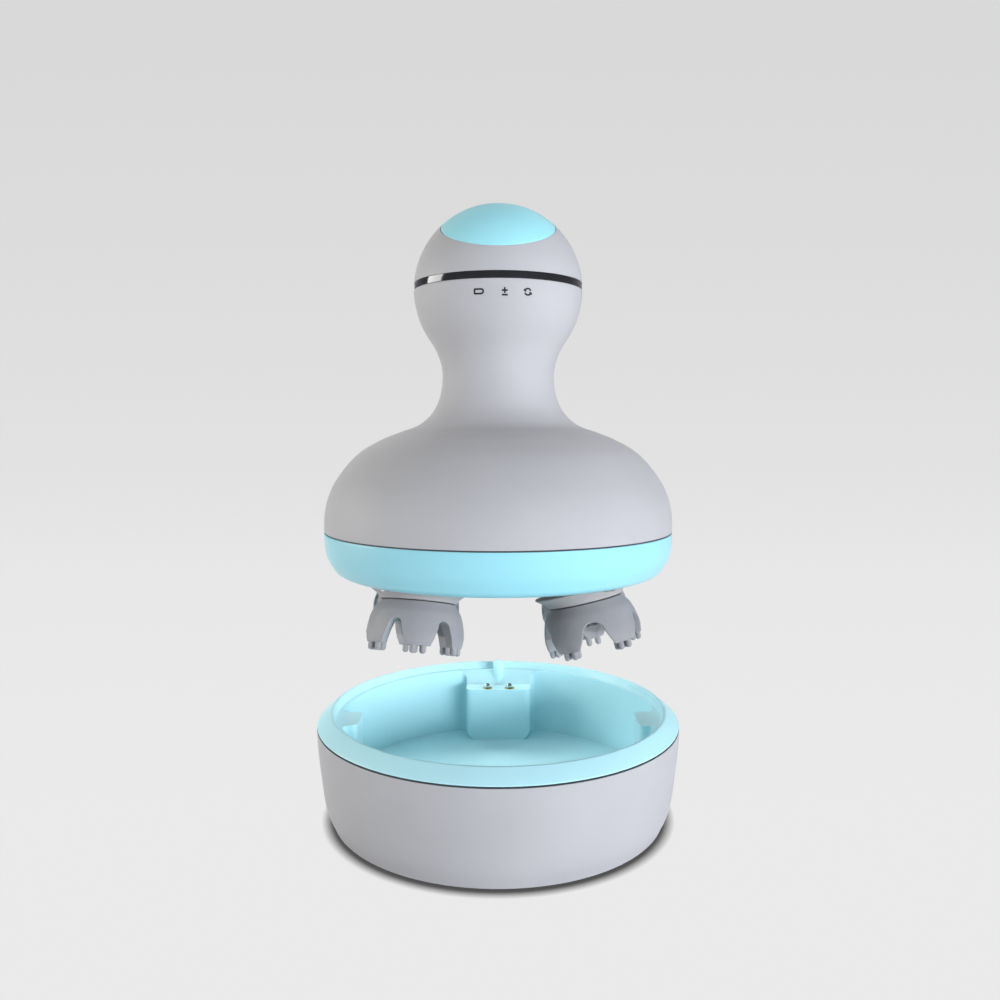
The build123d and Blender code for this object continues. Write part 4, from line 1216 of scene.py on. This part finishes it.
finishes = {
    "base_grey": plateGrey,
    "pad_rubber": padRubber,
    "screw_steel": steel,
    "board_green": boardGreen,
    "socket_steel": steel,
    "gold_contact": gold,
    "spring_steel": drawnSteel,
    "switch_black": switchBlack,
    "inner_white": innerWhite,
    "light_white": lensWhite,
    "bush_bronze": bronze,
    "gearbox_steel": drawnSteel,
    "motor_steel": drawnSteel,
    "cell_wrap": cellWrap,
    "gear_cream": gearCream,
    "hub_dark": hubDark,
    "dock_grey": shellGrey,
    "dock_blue": aquaLiner,
    "housing_grey": shellGrey,
    "ring_blue": aquaRing,
    "cap_blue": aquaCap,
    "seam_dark": seamDarkAndShade,
    "band_black": bandBlack,
    "pin_silver": silver,
    "skirt_grey": skirtGrey,
    "claw_grey": clawGrey,
}


def dressNodes():
    slotOf = {part["node"]: part["material_slot"] for part in frame["record"]["subparts"]}
    for name, obj in nodes.items():
        for slot in obj.material_slots:
            slot.material = finishes[slotOf[name]]


dressNodes()
print("nodes dressed")


# camera, light and floor

camera = {"x": 0.55, "y": -267.5, "z": 118.2, "pitch": 4.6, "lens": 31.68, "sensor": 36}
stage = {
    "paper": (225, 225, 227),
    "near": (234, 234, 234),
    "far": (217, 217, 217),
    "fade": (0, 0.37, 0.39),
    # reach, darkness and ramp of the painted contact shadow on the floor
    "contact": 4,
    "contactDark": 0.1,
    "contactSpan": (0.4, 0.93),
    "half": 3,
    "front": -2.0,
    "back": 0.9,
    "bend": 0.8,
    "high": 3.0,
}
light = {
    "world": 0.12,
    "key": {
        "place": (0.8, -0.93, 0.17), "aim": (0, 0, 0.11), "size": (0.8, 0.32),
        "power": 18.2, "colour": (0.94, 0.985, 1.06), "shine": False,
    },
    "side": {
        "place": (-1.2, 0.09, 0.36), "aim": (0, 0, 0.1), "size": (0.6, 0.7),
        "power": 9.5, "colour": (1.0, 1.0, 0.97), "shine": True,
    },
    "back": {
        "place": (-0.05, 0.54, 0.68), "aim": (0, 0, 0.04), "size": (1.2, 0.35),
        "power": 6.5, "colour": (1.0, 1.0, 1.0), "shine": False,
    },
    # low between the massager and its dock, for the bowl alone
    "bowl": {
        "place": (0, 0.005, 0.058), "aim": (0, 0.005, 0), "size": (0.07, 0.07),
        "power": 0.009, "colour": (1.0, 1.0, 1.0), "shine": False,
    },
}


def placeCamera():
    data = bpy.data.cameras.new("camera")
    data.lens = camera["lens"]
    data.sensor_width = camera["sensor"]
    data.clip_start = 0.01
    obj = bpy.data.objects.new("camera", data)
    obj.location = (camera["x"] * mm, camera["y"] * mm, camera["z"] * mm)
    obj.rotation_euler = (radians(90 - camera["pitch"]), 0, 0)
    bpy.context.scene.collection.objects.link(obj)
    bpy.context.scene.camera = obj


def areaLight(name, place, aim, size, power, colour, shine):
    data = bpy.data.lights.new(name, "AREA")
    data.shape = "RECTANGLE"
    data.size, data.size_y = size
    data.energy = power
    data.color = colour
    obj = bpy.data.objects.new(name, data)
    obj.visible_glossy = shine
    obj.visible_camera = False
    obj.location = place
    obj.rotation_euler = (Vector(aim) - Vector(place)).to_track_quat("-Z", "Y").to_euler()
    bpy.context.scene.collection.objects.link(obj)


def makeStage():
    # a pale sweep: floor that curves up into a backdrop
    back, bend = stage["back"], stage["bend"]
    turns = [radians(9 * k) for k in range(11)]
    line = [(stage["front"], 0)] + [(back + bend * sin(t), bend - bend * cos(t)) for t in turns]
    line.append((back + bend, stage["high"]))
    bm = bmesh.new()
    verts = [bm.verts.new((-stage["half"], y, z)) for y, z in line]
    edges = [bm.edges.new(pair) for pair in zip(verts, verts[1:])]
    swept = bmesh.ops.extrude_edge_only(bm, edges=edges)
    far = [v for v in swept["geom"] if isinstance(v, bmesh.types.BMVert)]
    bmesh.ops.translate(bm, vec=(2 * stage["half"], 0, 0), verts=far)
    bmesh.ops.recalc_face_normals(bm, faces=bm.faces)
    floor = meshObject("sweep", bm)
    floor.data.shade_smooth()
    material, tree, shader = nodeMaterial("sweepPaper")
    shader.inputs["Roughness"].default_value = 0.9
    shader.inputs["Base Color"].default_value = linear(*stage["paper"])
    # seen by the camera it glows an even pale grey, a little darker far off, with a painted contact shadow
    # close to the object
    place = tree.nodes.new("ShaderNodeTexCoord")
    reach = tree.nodes.new("ShaderNodeVectorMath")
    reach.operation = "DOT_PRODUCT"
    reach.inputs[1].default_value = stage["fade"]
    tree.links.new(place.outputs["Object"], reach.inputs[0])
    fade = ramp(tree, reach.outputs["Value"], linear(*stage["near"]), linear(*stage["far"]), 0.0, 1.0)
    # painted contact shadow: ambient occlusion darkens the floor's glow next to the object
    contact = tree.nodes.new("ShaderNodeAmbientOcclusion")
    contact.inputs["Distance"].default_value = stage["contact"] * mm
    contact.samples = 24
    paintedShadow = ramp(tree, contact.outputs["AO"], grey(stage["contactDark"]), grey(1.0), *stage["contactSpan"])
    tint = tree.nodes.new("ShaderNodeMix")
    tint.data_type = "RGBA"
    tint.blend_type = "MULTIPLY"
    tint.inputs["Factor"].default_value = 1.0
    tree.links.new(fade.outputs["Color"], tint.inputs["A"])
    tree.links.new(paintedShadow.outputs["Color"], tint.inputs["B"])
    glow = tree.nodes.new("ShaderNodeEmission")
    tree.links.new(tint.outputs["Result"], glow.inputs["Color"])
    seen = tree.nodes.new("ShaderNodeLightPath")
    either = tree.nodes.new("ShaderNodeMixShader")
    tree.links.new(seen.outputs["Is Camera Ray"], either.inputs["Fac"])
    tree.links.new(shader.outputs["BSDF"], either.inputs[1])
    tree.links.new(glow.outputs["Emission"], either.inputs[2])
    tree.links.new(either.outputs["Shader"], tree.nodes["Material Output"].inputs["Surface"])
    floor.data.materials.append(material)


def makeLight():
    world = bpy.data.worlds.new("world")
    bpy.context.scene.world = world
    world.use_nodes = True
    sky = world.node_tree.nodes["Background"]
    sky.inputs["Color"].default_value = (1, 1, 1, 1)
    sky.inputs["Strength"].default_value = light["world"]
    # past the sweep's edge the camera sees the same pale grey as its far end
    tree = world.node_tree
    beyond = tree.nodes.new("ShaderNodeBackground")
    beyond.inputs["Color"].default_value = linear(*stage["far"])
    seen = tree.nodes.new("ShaderNodeLightPath")
    either = tree.nodes.new("ShaderNodeMixShader")
    tree.links.new(seen.outputs["Is Camera Ray"], either.inputs["Fac"])
    tree.links.new(sky.outputs["Background"], either.inputs[1])
    tree.links.new(beyond.outputs["Background"], either.inputs[2])
    tree.links.new(either.outputs["Shader"], tree.nodes["World Output"].inputs["Surface"])
    for name in ("key", "side", "back", "bowl"):
        areaLight(name + "Light", **light[name])


placeCamera()
makeStage()
makeLight()
bpy.context.scene.view_settings.view_transform = "Standard"
print("stage made")
